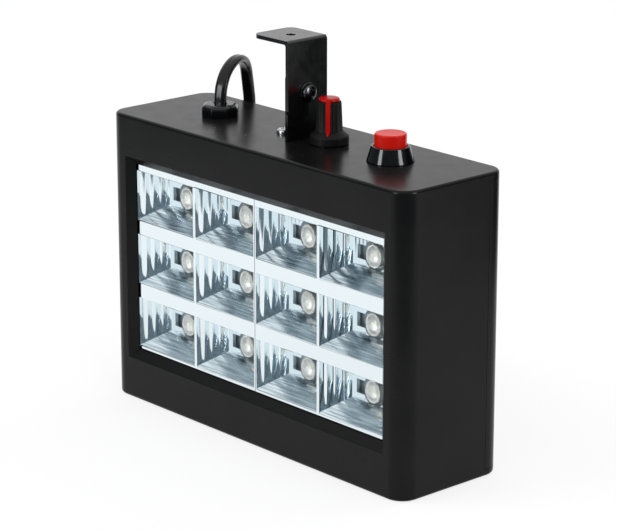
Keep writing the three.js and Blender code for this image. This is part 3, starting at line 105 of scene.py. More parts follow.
# %% Place the camera
photo_width = 617
focal_pixels = 2649.6
camera_place = Vector((581.8, -517.1, 288.0)) * mm
camera_azimuth = 48.17
camera_elevation = 16.77

camera_data = bpy.data.cameras.new("camera")
camera_data.sensor_width = 36
camera_data.lens = focal_pixels / photo_width * camera_data.sensor_width
camera_data.clip_start = 0.01
camera = bpy.data.objects.new("camera", camera_data)
camera.location = camera_place
camera.rotation_euler = (
    math.radians(90 - camera_elevation),
    0,
    math.radians(camera_azimuth),
)
bpy.context.scene.collection.objects.link(camera)
bpy.context.scene.camera = camera
print("lens in mm:", round(camera_data.lens, 1))

# %% [markdown]
# ## Floor and light
#
# The product stands on white. The floor is white to the camera and to mirrors, and still takes a
# shadow from the lamps. Soft lamps light the black plastic at a plain level. Chrome shows only
# what surrounds it, so a few dark cards, which only mirrors see, draw the dark shapes in it.

# %% Make the floor and the world


def light_path_mask(tree):
    """1 for rays from the camera and for mirror and glass rays, 0 for the rest."""
    path = tree.nodes.new("ShaderNodeLightPath")
    total = None
    for ray in ("Is Camera Ray", "Is Glossy Ray", "Is Transmission Ray"):
        if total is None:
            total = path.outputs[ray]
            continue
        add = tree.nodes.new("ShaderNodeMath")
        add.operation = "MAXIMUM"
        tree.links.new(total, add.inputs[0])
        tree.links.new(path.outputs[ray], add.inputs[1])
        total = add.outputs[0]
    return total


def white_world(soft_level):
    """White for the camera and for mirrors, and a soft even light for everything else."""
    world = bpy.data.worlds.new("white studio")
    bpy.context.scene.world = world
    world.use_nodes = True
    tree = world.node_tree
    tree.nodes.clear()
    output = tree.nodes.new("ShaderNodeOutputWorld")
    mix = tree.nodes.new("ShaderNodeMixShader")
    soft = tree.nodes.new("ShaderNodeBackground")
    soft.inputs["Strength"].default_value = soft_level
    white = tree.nodes.new("ShaderNodeBackground")
    tree.links.new(light_path_mask(tree), mix.inputs[0])
    tree.links.new(soft.outputs[0], mix.inputs[1])
    tree.links.new(white.outputs[0], mix.inputs[2])
    tree.links.new(mix.outputs[0], output.inputs[0])
    for shader in (soft, white):
        shader.inputs["Color"].default_value = (1, 1, 1, 1)


def white_floor(size, shadow_share):
    """A pale floor. Part of it glows white, and the rest is a plain surface that takes shadow."""
    bm = bmesh.new()
    bmesh.ops.create_grid(bm, x_segments=1, y_segments=1, size=size)
    mesh = bpy.data.meshes.new("floor")
    bm.to_mesh(mesh)
    bm.free()
    floor = bpy.data.objects.new("floor", mesh)
    bpy.context.scene.collection.objects.link(floor)
    floor.location.z = housing_low.z - 0.0001
    material = bpy.data.materials.new("pale floor")
    material.use_nodes = True
    tree = material.node_tree
    tree.nodes.clear()
    output = tree.nodes.new("ShaderNodeOutputMaterial")
    mix = tree.nodes.new("ShaderNodeMixShader")
    plain = tree.nodes.new("ShaderNodeBsdfDiffuse")
    plain.inputs["Color"].default_value = (0.97, 0.97, 0.97, 1)
    glow = tree.nodes.new("ShaderNodeEmission")
    scale = tree.nodes.new("ShaderNodeMath")
    scale.operation = "MULTIPLY"
    scale.inputs[1].default_value = 1 - shadow_share
    tree.links.new(light_path_mask(tree), scale.inputs[0])
    tree.links.new(scale.outputs[0], mix.inputs[0])
    tree.links.new(plain.outputs[0], mix.inputs[1])
    tree.links.new(glow.outputs[0], mix.inputs[2])
    tree.links.new(mix.outputs[0], output.inputs[0])
    mesh.materials.append(material)
    floor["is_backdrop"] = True
    return floor


bpy.context.scene.view_settings.view_transform = "Standard"
white_world(soft_level=0.75)
white_floor(size=3, shadow_share=0.25)

# %% Hang the lamps and the cards


def soft_lamp(name, place, size, power):
    """A square area lamp that faces the light's middle."""
    data = bpy.data.lights.new(name, "AREA")
    data.size = size
    data.energy = power
    lamp = bpy.data.objects.new(name, data)
    lamp.location = place
    aim = (Vector((0, 0, top_z / 2)) - lamp.location).normalized()
    lamp.rotation_euler = aim.to_track_quat("-Z", "Y").to_euler()
    bpy.context.scene.collection.objects.link(lamp)
    lamp.visible_glossy = False
    return lamp


def softbox(name, azimuth, distance, height, power):
    """An upright lamp that only draws highlights, as bright stripes on glossy round parts."""
    turn = math.radians(azimuth)
    place = (-math.sin(turn) * distance, math.cos(turn) * distance, height)
    lamp = soft_lamp(name, place, 0.28, power)
    lamp.data.shape = "RECTANGLE"
    lamp.data.size_y = 0.5
    lamp.visible_glossy = True
    lamp.visible_diffuse = False
    return lamp


def dark_card(name, azimuth, distance, width, height, tone, lift=0):
    """A card that only mirrors see. It faces the object from an azimuth."""
    bm = bmesh.new()
    bmesh.ops.create_grid(bm, x_segments=1, y_segments=1, size=0.5)
    bmesh.ops.scale(bm, vec=(width, height, 1), verts=bm.verts)
    bmesh.ops.rotate(bm, matrix=Matrix.Rotation(math.radians(90), 3, "X"), verts=bm.verts)
    bmesh.ops.translate(bm, vec=(0, distance, lift + height / 2), verts=bm.verts)
    mesh = bpy.data.meshes.new(name)
    bm.to_mesh(mesh)
    bm.free()
    card = bpy.data.objects.new(name, mesh)
    card.rotation_euler.z = math.radians(azimuth)
    bpy.context.scene.collection.objects.link(card)
    material = bpy.data.materials.new(name)
    material.use_nodes = True
    shader = material.node_tree.nodes["Principled BSDF"]
    shader.inputs["Base Color"].default_value = (0, 0, 0, 1)
    shader.inputs["Specular IOR Level"].default_value = 0
    shader.inputs["Emission Color"].default_value = (*tone, 1)
    shader.inputs["Emission Strength"].default_value = 1
    mesh.materials.append(material)
    card.visible_camera = False
    card.visible_diffuse = False
    card.visible_shadow = False
    card.visible_transmission = False
    card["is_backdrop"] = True
    return card


soft_lamp("key lamp", (-0.5, -0.7, 0.9), 0.7, 4.5)
soft_lamp("fill lamp", (0.9, -0.2, 0.7), 0.8, 3)
soft_lamp("rim lamp", (0.1, 0.9, 0.9), 0.7, 3)
softbox("left softbox", camera_azimuth + 180 - 54, 0.9, 0.36, 4.5)
softbox("right softbox", camera_azimuth + 180 + 52, 0.9, 0.36, 4.5)
slate = (0.15, 0.20, 0.23)
dark = (0.02, 0.025, 0.03)
dim = (0.17, 0.21, 0.24)
dark_card("front right card", camera_azimuth + 180, 0.215, 0.60, 0.08, slate)
dark_card("front left card", camera_azimuth + 90, 0.42, 0.60, 0.08, slate)
dark_card("right card", camera_azimuth - 81, 0.24, 0.17, 0.22, dark)
for side in (90, 180, 270):
    dark_card(f"studio wall {side}", camera_azimuth + side, 1.2, 2.4, 0.8, dim)
print("stage and lamps are in place")

# %% [markdown]
# ## Small helpers
#
# Every piece below is made in a bmesh, then turned into an object that rides on a body of the
# frame. Faces are shaded smooth, and edges sharper than a given angle stay crisp. A modifier
# lets the large faces set the shading, so a flat face next to a small rounded edge stays flat.

# %% Turn a bmesh into a piece


def mesh_object(name, bm):
    """An object in the scene that holds the bmesh."""
    mesh = bpy.data.meshes.new(name)
    bm.to_mesh(mesh)
    bm.free()
    made = bpy.data.objects.new(name, mesh)
    bpy.context.scene.collection.objects.link(made)
    return made


def set_crisp(made, angle):
    made.data.shade_smooth()
    made.data.set_sharp_from_angle(angle=math.radians(angle))


def dress(made, material, body="housing", stands_for=(), crisp=32):
    """Gives a piece its finish, its body and the nodes that it stands for."""
    set_crisp(made, crisp)
    shading = made.modifiers.new("even shading", "WEIGHTED_NORMAL")
    shading.keep_sharp = True
    made.data.materials.clear()
    made.data.materials.append(material)
    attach(made, body)
    if stands_for:
        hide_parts(*stands_for)
    return made


def carve(piece, cutter, operation="DIFFERENCE"):
    """Cuts one closed piece with another, or joins them, and drops the second."""
    step = piece.modifiers.new("carve", "BOOLEAN")
    step.operation = operation
    step.solver = "EXACT"
    step.object = cutter
    graph = bpy.context.evaluated_depsgraph_get()
    made = bpy.data.meshes.new_from_object(piece.evaluated_get(graph))
    piece.modifiers.clear()
    old = piece.data
    piece.data = made
    bpy.data.meshes.remove(old)
    bpy.data.objects.remove(cutter)
    return piece


def soften(piece, picks, width, segments=2):
    """Rounds the edges that picks chooses."""
    bm = bmesh.new()
    bm.from_mesh(piece.data)
    bmesh.ops.remove_doubles(bm, verts=bm.verts, dist=1e-6)
    edges = [e for e in bm.edges if picks(e)]
    bmesh.ops.bevel(
        bm,
        geom=edges,
        offset=width,
        offset_type="OFFSET",
        segments=segments,
        profile=0.5,
        affect="EDGES",
        clamp_overlap=True,
        material=-1,
    )
    bm.to_mesh(piece.data)
    bm.free()
    return len(edges)


# %% Round parts and blocks


def round_off(bm, edges, radius, segments):
    bmesh.ops.bevel(
        bm,
        geom=edges,
        offset=radius,
        offset_type="OFFSET",
        segments=segments,
        profile=0.5,
        affect="EDGES",
        clamp_overlap=True,
        material=-1,
    )


def block(low, high):
    """A bmesh box between two corners."""
    bm = bmesh.new()
    bmesh.ops.create_cube(bm, size=1)
    low, high = Vector(low), Vector(high)
    bmesh.ops.scale(bm, vec=high - low, verts=bm.verts)
    bmesh.ops.translate(bm, vec=(high + low) / 2, verts=bm.verts)
    return bm


def rounded_block(low, high, corner, edge, corner_steps=12, edge_steps=4):
    """A box whose upright corners and whose rims are round."""
    bm = block(low, high)
    upright = [e for e in bm.edges if abs((e.verts[0].co - e.verts[1].co).normalized().z) > 0.9]
    round_off(bm, upright, corner, corner_steps)
    if edge:
        near = (high[2] - low[2]) / 4
        rims = [
            e
            for e in bm.edges
            if abs(e.verts[0].co.z - e.verts[1].co.z) < 1e-6
            and (e.verts[0].co.z < low[2] + near or e.verts[0].co.z > high[2] - near)
        ]
        round_off(bm, rims, edge, edge_steps)
    return bm


def turned(profile, steps=48):
    """Turns (radius, height) pairs in mm round Z. The profile starts and ends on the axis."""
    bm = bmesh.new()
    points = [bm.verts.new((radius * mm, 0, height * mm)) for radius, height in profile]
    edges = [bm.edges.new(pair) for pair in zip(points, points[1:])]
    bmesh.ops.spin(
        bm,
        geom=points + edges,
        cent=(0, 0, 0),
        axis=(0, 0, 1),
        angle=math.tau,
        steps=steps,
        use_merge=True,
    )
    bmesh.ops.remove_doubles(bm, verts=bm.verts, dist=1e-7)
    bmesh.ops.recalc_face_normals(bm, faces=bm.faces)
    return bm


def move(bm, turn=None, place=(0, 0, 0)):
    """Turns a whole bmesh about the origin, then moves it."""
    if turn is not None:
        bmesh.ops.transform(bm, matrix=turn, verts=bm.verts)
    bmesh.ops.translate(bm, vec=place, verts=bm.verts)
    return bm


to_front = Matrix.Rotation(math.radians(90), 4, "X")
to_back = Matrix.Rotation(math.radians(-90), 4, "X")
to_right = Matrix.Rotation(math.radians(90), 4, "Y")
print("helpers are ready")

# %% [markdown]
# ## Finishes
#
# Moulded plastic is never one flat colour. Its shine wanders a little, its surface has a fine
# grain from the mould, and its edges are rubbed a touch paler; on the red parts the paler edges
# are a painted glow. These helpers add such things to a plain shader, all in the object's own
# coordinates, so that a pattern stays on its piece.

# %% Helpers for finishes


def finish(name, colour, roughness, metallic=0.0, specular=0.5):
    """A plain finish, and its shader."""
    material = bpy.data.materials.new(name)
    material.use_nodes = True
    shader = material.node_tree.nodes["Principled BSDF"]
    shader.inputs["Base Color"].default_value = (*colour, 1)
    shader.inputs["Roughness"].default_value = roughness
    shader.inputs["Metallic"].default_value = metallic
    shader.inputs["Specular IOR Level"].default_value = specular
    return material, shader


def noise(tree, grains_per_mm, detail=2.0, stretch=(1, 1, 1)):
    """Noise on the object's own coordinates. Stretch makes the grain longer along an axis."""
    place = tree.nodes.new("ShaderNodeTexCoord")
    mapping = tree.nodes.new("ShaderNodeMapping")
    mapping.inputs["Scale"].default_value = [1 / s for s in stretch]
    texture = tree.nodes.new("ShaderNodeTexNoise")
    texture.inputs["Scale"].default_value = grains_per_mm / mm
    texture.inputs["Detail"].default_value = detail
    tree.links.new(place.outputs["Object"], mapping.inputs["Vector"])
    tree.links.new(mapping.outputs["Vector"], texture.inputs["Vector"])
    return texture.outputs["Fac"]


def remap(tree, value, low, high, start=0.3, end=0.7):
    ramp = tree.nodes.new("ShaderNodeMapRange")
    ramp.inputs["From Min"].default_value = start
    ramp.inputs["From Max"].default_value = end
    ramp.inputs["To Min"].default_value = low
    ramp.inputs["To Max"].default_value = high
    tree.links.new(value, ramp.inputs["Value"])
    return ramp.outputs["Result"]


def vary_roughness(material, shader, low, high, grains_per_mm, stretch=(1, 1, 1)):
    tree = material.node_tree
    value = noise(tree, grains_per_mm, 4.0, stretch)
    tree.links.new(remap(tree, value, low, high), shader.inputs["Roughness"])


def vary_colour(material, shader, first, second, grains_per_mm, stretch=(1, 1, 1)):
    tree = material.node_tree
    ramp = tree.nodes.new("ShaderNodeValToRGB")
    ramp.color_ramp.elements[0].position = 0.35
    ramp.color_ramp.elements[1].position = 0.65
    ramp.color_ramp.elements[0].color = (*first, 1)
    ramp.color_ramp.elements[1].color = (*second, 1)
    tree.links.new(noise(tree, grains_per_mm, 4.0, stretch), ramp.inputs["Fac"])
    tree.links.new(ramp.outputs["Color"], shader.inputs["Base Color"])
    return ramp


def edge_wear_and_sheen(material, shader, ramp, colour, strength):
    """Mixes a paler colour in where the surface is sharply convex: rubbed wear on the black parts, a painted
    glow on the reds.
    """
    tree = material.node_tree
    shape = tree.nodes.new("ShaderNodeNewGeometry")
    amount = remap(tree, shape.outputs["Pointiness"], 0, strength, 0.58, 0.75)
    mix = tree.nodes.new("ShaderNodeMix")
    mix.data_type = "RGBA"
    mix.inputs["B"].default_value = (*colour, 1)
    tree.links.new(amount, mix.inputs["Factor"])
    tree.links.new(ramp.outputs["Color"], mix.inputs["A"])
    tree.links.new(mix.outputs["Result"], shader.inputs["Base Color"])


def add_bump(material, shader, grains_per_mm, height, detail=2.0, stretch=(1, 1, 1)):
    """Raises the surface by noise. Height is in millimetres. Bumps can be added to bumps."""
    tree = material.node_tree
    bump = tree.nodes.new("ShaderNodeBump")
    bump.inputs["Strength"].default_value = 1
    bump.inputs["Distance"].default_value = height * mm
    tree.links.new(noise(tree, grains_per_mm, detail, stretch), bump.inputs["Height"])
    if shader.inputs["Normal"].is_linked:
        earlier = shader.inputs["Normal"].links[0].from_socket
        tree.links.new(earlier, bump.inputs["Normal"])
    tree.links.new(bump.outputs["Normal"], shader.inputs["Normal"])


# %% The finishes of this light


def satin_housing():
    """Black ABS from a finely sparked mould."""
    material, shader = finish("satin black plastic", (0.005, 0.005, 0.005), 0.25, specular=0.13)
    ramp = vary_colour(material, shader, (0.004, 0.004, 0.004), (0.006, 0.006, 0.006), 0.05)
    edge_wear_and_sheen(material, shader, ramp, (0.02, 0.02, 0.02), 0.25)
    vary_roughness(material, shader, 0.22, 0.28, 0.15)
    add_bump(material, shader, 3.0, 0.010, 1.0)
    add_bump(material, shader, 0.02, 0.06, 1.0)
    return material


def chromed_tray():
    """Plastic with a bright metal coat. Cell floors and ceilings carry fine marks along X, and their darker
    colour is painted reflection; ceilings get more painted shade.
    """
    material, shader = finish("chromed plastic", (0.80, 0.88, 0.915), 0.06, metallic=1.0)
    add_bump(material, shader, 0.10, 0.04, 1.0)
    tree = material.node_tree
    shape = tree.nodes.new("ShaderNodeNewGeometry")
    parts = tree.nodes.new("ShaderNodeSeparateXYZ")
    level = tree.nodes.new("ShaderNodeMath")
    level.operation = "ABSOLUTE"
    tree.links.new(shape.outputs["True Normal"], parts.inputs["Vector"])
    tree.links.new(parts.outputs["Z"], level.inputs[0])
    flat = remap(tree, level.outputs[0], 0, 1, 0.6, 0.8)
    marks = tree.nodes.new("ShaderNodeBump")
    marks.inputs["Distance"].default_value = 0.05 * mm
    tree.links.new(flat, marks.inputs["Strength"])
    tree.links.new(noise(tree, 1.6, 2.0, (14, 1, 1)), marks.inputs["Height"])
    tree.links.new(shader.inputs["Normal"].links[0].from_socket, marks.inputs["Normal"])
    tree.links.new(marks.outputs["Normal"], shader.inputs["Normal"])
    rough = tree.nodes.new("ShaderNodeMath")
    rough.operation = "MULTIPLY_ADD"
    rough.inputs[1].default_value = 0.12
    tree.links.new(flat, rough.inputs[0])
    tree.links.new(remap(tree, noise(tree, 0.6, 4.0), 0.03, 0.09), rough.inputs[2])
    tree.links.new(rough.outputs[0], shader.inputs["Roughness"])
    # Floors and ceilings: real marks along X, and a mostly darker colour that is painted reflection.
    streaks_and_painted_reflection = vary_colour(material, shader, (0.45, 0.52, 0.56), (0.91, 0.95, 0.97), 1.4, (16, 1, 1))
    mix = tree.nodes.new("ShaderNodeMix")
    mix.data_type = "RGBA"
    mix.inputs["A"].default_value = (0.80, 0.88, 0.915, 1)
    tree.links.new(flat, mix.inputs["Factor"])
    tree.links.new(streaks_and_painted_reflection.outputs["Color"], mix.inputs["B"])
    # Ceilings are mixed towards a darker tone: painted shade.
    ceiling = remap(tree, parts.outputs["Z"], 1, 0, -0.8, -0.6)
    shade = tree.nodes.new("ShaderNodeMix")
    shade.data_type = "RGBA"
    shade.inputs["B"].default_value = (0.50, 0.56, 0.59, 1)
    tree.links.new(ceiling, shade.inputs["Factor"])
    tree.links.new(mix.outputs["Result"], shade.inputs["A"])
    tree.links.new(shade.outputs["Result"], shader.inputs["Base Color"])
    return material


def clear_lens():
    """Water-clear epoxy."""
    material, shader = finish("clear lens", (0.97, 0.98, 0.96), 0.04)
    shader.inputs["IOR"].default_value = 1.52
    shader.inputs["Transmission Weight"].default_value = 0.92
    vary_roughness(material, shader, 0.02, 0.07, 0.8)
    add_bump(material, shader, 0.5, 0.01, 1.0)
    return material


def lens_cup():
    """The silvered bowl in which an LED's chip sits."""
    material, shader = finish("silvered cup", (0.88, 0.91, 0.90), 0.5, metallic=1.0)
    vary_colour(material, shader, (0.84, 0.87, 0.87), (0.93, 0.94, 0.92), 0.8)
    vary_roughness(material, shader, 0.45, 0.65, 1.0)
    add_bump(material, shader, 0.9, 0.04, 1.0)
    return material


def lens_chip():
    """The phosphor square over the chip."""
    material, shader = finish("pale chip", (0.90, 0.88, 0.74), 0.5)
    vary_colour(material, shader, (0.86, 0.84, 0.68), (0.93, 0.91, 0.80), 2.0)
    add_bump(material, shader, 4.0, 0.01, 1.0)
    return material


def dark_board():
    """The LED board's slate solder mask."""
    material, shader = finish("slate board", (0.45, 0.55, 0.60), 0.5)
    vary_colour(material, shader, (0.42, 0.52, 0.57), (0.48, 0.58, 0.63), 0.2)
    add_bump(material, shader, 0.8, 0.02, 1.0)
    return material


satin_black = satin_housing()
chrome = chromed_tray()
lens = clear_lens()
cup = lens_cup()
chip = lens_chip()
board_black = dark_board()
print("finishes:", len(bpy.data.materials))

# %% [markdown]
# ## Mains cord
#
# A flat two-core cord leaves the strain relief, arches over the rear edge and falls behind the
# box. The rest is wound into a coil on the floor, held by a tie. The route repeats the frame's:
# points given one by one for the free stretch, and a loop for the turns. The cord's section is swept
# along the route by extruding its ring step by step. On its way down it turns a quarter, so
# that it lies on edge in the coil.

# %% Lay the cord's route
cord_width = 4.0 * mm
cord_thickness = 2.6 * mm
coil_centre = Vector((-34, 60, 0)) * mm
coil_radius = 29 * mm
turn_pitch = 3.6 * mm
layer_pitch = 4.6 * mm
floor_lift = 0.9 * mm
entry_angle = math.radians(200)
exit_angle = math.radians(90)
coil_turns = 7 + (entry_angle - exit_angle) / math.tau
steps_per_turn = 48
plug_thickness = 14.4 * mm

arch = [
    (-39.3, 1.7, 1.8),
    (-39.4, 1.9, 4.6),
    (-39.7, 2.5, 8.2),
    (-40.7, 5, 12.3),
    (-42.3, 9.1, 14.9),
    (-44.5, 13.6, 15.4),
    (-47, 17.7, 14),
    (-49.5, 21, 10.9),
    (-51.5, 23.3, 6.7),
    (-52.7, 24.9, 2),
    (-53.3, 25.8, -3),
]
fall = [
    (-53.7, 26.2, 76),
    (-53.9, 26.3, 58),
    (-54, 26.3, 40),
    (-54, 26.4, 26),
    (-54.2, 27.2, 16.5),
    (-55, 30.2, 8.6),
    (-56.5, 36, 3.9),
]
tail = [
    (9, 27.9, 0.1),
    (17.5, 24, 0.24),
    (24.6, 17.6, 0.39),
    (29, 10, 0.5),
    (30.4, 3, 0.57),
    (30.2, -3, 0.64),
    (28, -9, 0.73),
    (23.5, -13.2, 0.84),
    (17, -15, 1),
    (13, -15, 1),
]


def coil_heading(angle):
    return Vector((math.sin(angle), -math.cos(angle), 0))


def coil_point(angle, radius, height):
    return coil_centre + Vector((radius * math.cos(angle), radius * math.sin(angle), height))


def coil_route():
    """In on the lower layer, up where the spiral turns round, and out on the upper one."""
    low_z = floor_lift + cord_width / 2
    start = coil_point(entry_angle, coil_radius, low_z) - coil_heading(entry_angle) * cord_width
    points = [start]
    steps = round(coil_turns * steps_per_turn)
    half = coil_turns / 2
    for step in range(steps + 1):
        turn = coil_turns * step / steps
        radius = coil_radius - turn_pitch * (half - abs(turn - half))
        climb = min(max((turn - half) * 2 + 0.5, 0), 1)
        height = low_z + layer_pitch * climb
        points.append(coil_point(entry_angle - turn * math.tau, radius, height))
    return points


def smooth_route(points, spacing):
    """More points on a smooth line through the given ones."""
    full = [2 * points[0] - points[1], *points, 2 * points[-1] - points[-2]]
    route = []
    for a, b, c, d in zip(full, full[1:], full[2:], full[3:]):
        count = max(int((c - b).length / spacing), 1)
        for i in range(count):
            t = i / count
            route.append(
                (2 * b + (c - a) * t + (2 * a - 5 * b + 4 * c - d) * t * t
                 + (3 * b - a - 3 * c + d) * t ** 3) / 2
            )
    route.append(points[-1])
    return route


free_points = [Vector((x, y, z)) * mm + up * top_z for x, y, z in arch]
free_points += [Vector(point) * mm for point in fall]
coil_points = coil_route()
free_route = smooth_route(free_points + coil_points[:2], 1.5 * mm)
exit_z = coil_points[-1].z
plug_z = exit_z + cord_width / 2 + 0.05 * mm + plug_thickness / 2
tail_points = [
    coil_centre + Vector((x * mm, y * mm, exit_z + (plug_z - exit_z) * share))
    for x, y, share in tail
]
tail_route = smooth_route(coil_points[-2:] + tail_points, 2 * mm)
cord_route = free_route[:-1] + coil_points[1:-2] + tail_route
cord_length = sum((b - a).length for a, b in zip(cord_route, cord_route[1:]))
print("cord in mm:", round(cord_length / mm), "points:", len(cord_route))

# %% Sweep the cord along its route


def flat_section(bm, width, thickness, sides):
    """A ring in X and Y: two round cores side by side with a shallow groove between them."""
    made = bmesh.ops.create_circle(bm, segments=sides, radius=1)
    for vert in made["verts"]:
        x, y = vert.co.x, vert.co.y
        groove = 1 - 0.16 * math.exp(-((x / 0.16) ** 2))
        vert.co.x = x * width / 2
        vert.co.y = math.copysign(abs(y) ** 0.8, y) * thickness / 2 * groove
    return [e for e in bm.edges]


def sweep(bm, ring, route, wide_axis, twist):
    """Extrudes the ring along the route. Twist gives the turn of the section at each share."""
    across = wide_axis
    before = None
    total = sum((b - a).length for a, b in zip(route, route[1:]))
    travelled = 0
    for index, point in enumerate(route):
        ahead = route[min(index + 1, len(route) - 1)]
        behind = route[max(index - 1, 0)]
        along = (ahead - behind).normalized()
        across = (across - along * across.dot(along)).normalized()
        if index:
            travelled += (point - route[index - 1]).length
        wide = Matrix.Rotation(twist(travelled / total), 3, along) @ across
        thin = along.cross(wide)
        pose = Matrix((wide, thin, along)).transposed().to_4x4()
        pose.translation = point
        if before is None:
            bmesh.ops.transform(bm, matrix=pose, verts=bm.verts)
            bmesh.ops.contextual_create(bm, geom=ring)
        else:
            made = bmesh.ops.extrude_edge_only(bm, edges=ring)["geom"]
            verts = [g for g in made if isinstance(g, bmesh.types.BMVert)]
            ring = [g for g in made if isinstance(g, bmesh.types.BMEdge)]
            bmesh.ops.transform(bm, matrix=pose @ before.inverted(), verts=verts)
            ring = [e for e in ring if all(v in verts for v in e.verts)]
        before = pose
    bmesh.ops.contextual_create(bm, geom=ring)


free_share = sum((b - a).length for a, b in zip(free_route, free_route[1:])) / cord_length


def quarter_turn_on_the_fall(share):
    start, end = free_share * 0.45, free_share * 0.75
    t = min(max((share - start) / (end - start), 0), 1)
    return math.radians(90) * t * t * (3 - 2 * t)


cord_bm = bmesh.new()
cord_ring = flat_section(cord_bm, cord_width, cord_thickness, 20)
sweep(cord_bm, cord_ring, cord_route, Vector((0.897, 0.44, 0)), quarter_turn_on_the_fall)
bmesh.ops.recalc_face_normals(cord_bm, faces=cord_bm.faces)
cord_piece = mesh_object("flat_cord", cord_bm)


def cord_skin():
    """Smooth black PVC with a faint drag grain."""
    material, shader = finish("black cord skin", (0.004, 0.004, 0.004), 0.18, specular=0.28)
    ramp = vary_colour(material, shader, (0.003, 0.003, 0.003), (0.005, 0.005, 0.005), 0.08)
    edge_wear_and_sheen(material, shader, ramp, (0.03, 0.03, 0.03), 0.5)
    vary_roughness(material, shader, 0.12, 0.22, 0.3)
    add_bump(material, shader, 0.5, 0.03, 2.0)
    return material


black_skin = cord_skin()
dress(cord_piece, black_skin, stands_for=("mains_cord", "cord_coil"), crisp=60)
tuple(cord_route[0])
print("cord faces:", len(cord_piece.data.polygons))

# %% [markdown]
# ## Front housing
#
# The front, the top, the bottom and most of the sides are one moulding. It starts as a block
# with round corners. The room inside, the seat of the rear cover and the window are cut from it,
# which keeps the wall thickness true everywhere. The window's cutter is a block whose front end
# is larger, so it leaves a sloped rim with mitred corners.

# %% Shape the front housing
wall = 2.2 * mm
front_wall = 2.3 * mm
corner_radius = 6 * mm
edge_radius = 1 * mm
cover_wrap = 7.2 * mm
opening_side = 8 * mm
opening_top = 13.1 * mm
opening_bottom = 13.6 * mm
rim_slope = 2.7 * mm
overrun = 1 * mm
wall_back_y = front_y + front_wall

outer = rounded_block(housing_low, housing_high, corner_radius, edge_radius, 14, 5)
housing = mesh_object("housing_shell", outer)

room = rounded_block(
    (-half_width + wall, wall_back_y, wall),
    (half_width - wall, back_y + 10 * mm, top_z - wall),
    corner_radius - wall,
    0,
)
carve(housing, mesh_object("room", room))
notch = block(
    (-half_width - overrun, back_y - cover_wrap, wall),
    (half_width + overrun, back_y + overrun, top_z - wall),
)
carve(housing, mesh_object("notch", notch))

window_low = Vector((-half_width + opening_side, front_y, opening_bottom))
window_high = Vector((half_width - opening_side, wall_back_y, top_z - opening_top))
window = block(window_low, window_high)
inner = [v for v in window.verts if v.co.y > front_y + front_wall / 2]
centre = (window_low + window_high) / 2
size = window_high - window_low
shrink = Vector((1 - 2 * rim_slope / size.x, 1, 1 - 2 * rim_slope / size.z))
space = Matrix.Translation(-centre)
bmesh.ops.scale(window, vec=shrink, verts=inner, space=space)
back_face = [f for f in window.faces if f.normal.y > 0.9]
front_face = [f for f in window.faces if f.normal.y < -0.9]
made = bmesh.ops.extrude_face_region(window, geom=back_face)["geom"]
bmesh.ops.translate(window, vec=(0, overrun, 0), verts=[g for g in made if isinstance(g, bmesh.types.BMVert)])
bmesh.ops.delete(window, geom=back_face, context="FACES")
made = bmesh.ops.extrude_face_region(window, geom=front_face)["geom"]
bmesh.ops.translate(window, vec=(0, -overrun, 0), verts=[g for g in made if isinstance(g, bmesh.types.BMVert)])
bmesh.ops.delete(window, geom=front_face, context="FACES")
bmesh.ops.recalc_face_normals(window, faces=window.faces)
carve(housing, mesh_object("window", window))
print("housing faces:", len(housing.data.polygons))

# %% Cut the openings in the top
hole_clearance = 0.15 * mm
ear_low, ear_high = node_box("mounting_ear")
foot = middle("bracket_foot_screw")


def top_hole(place, radius):
    """Cuts a round hole through the top wall. The radius is in millimetres."""
    drill = turned([(0, -4), (radius, -4), (radius, 4), (0, 4)], 48)
    carve(housing, mesh_object("drill", move(drill, None, Vector((place.x, place.y, top_z)))))


top_hole(middle("strain_relief"), 4.05)
top_hole(middle("potentiometer_shaft"), 3.15)
top_hole(middle("button_cap"), 6.0)
top_hole(foot, 1.35)
ear_slot = block(
    (ear_high.x - 1.2 * mm - hole_clearance, ear_low.y - 0.75 * mm, top_z - 4 * mm),
    (ear_high.x + hole_clearance, ear_high.y + 0.75 * mm, top_z + overrun),
)
carve(housing, mesh_object("ear slot", ear_slot))
print("housing faces with its openings:", len(housing.data.polygons))

# %% Soften the housing's cut edges


def on_window_rim(edge):
    return all(
        abs(v.co.y - front_y) < 1e-5
        and window_low.x - 1e-5 < v.co.x < window_high.x + 1e-5
        and window_low.z - 1e-5 < v.co.z < window_high.z + 1e-5
        for v in edge.verts
    )


def on_cover_seam(edge):
    seam = back_y - cover_wrap
    return all(abs(v.co.y - seam) < 1e-5 and abs(v.co.x) > half_width - 1e-4 for v in edge.verts)


print("rim edges:", soften(housing, on_window_rim, 0.18 * mm))
print("seam edges:", soften(housing, on_cover_seam, 0.2 * mm))
dress(housing, satin_black, stands_for=("front_housing",), crisp=28)

# %% [markdown]
# ## Reflector trays
#
# Each tray is one moulding with six cells. A cell narrows from its mouth to a small back wall.
# Its side walls carry four upright concave flutes that spread the light, and its floor and
# ceiling are plain. It is easiest to model the air in a cell and cut that from a block: the
# fluted plan is drawn with spun arcs, raised, and cut by two slanted planes, so the flutes end
# in the scallops that the real ones show.

# %% Draw the air in one cell
tray_low, tray_high = node_box("reflector_left")
right_low, right_high = node_box("reflector_right")
columns = 2
rows = 3
flutes = 4
flute_steps = 8
tray_front_y = tray_low.y
cell_depth = 9.7 * mm
septum = 1.1 * mm
land = 4.85 * mm
side_draft = 4.1 * mm
end_draft = 3.85 * mm
flute_depth = 0.12 * mm
slot_width = 15.4 * mm
slot_height = 4.4 * mm
hole_reach = 3.0 * mm
first_led = middle("led_01")
column_pitch = middle("led_02").x - first_led.x
row_pitch = first_led.z - middle("led_05").z
mouth_half = (column_pitch - septum) / 2
mouth_rise = (row_pitch - land) / 2


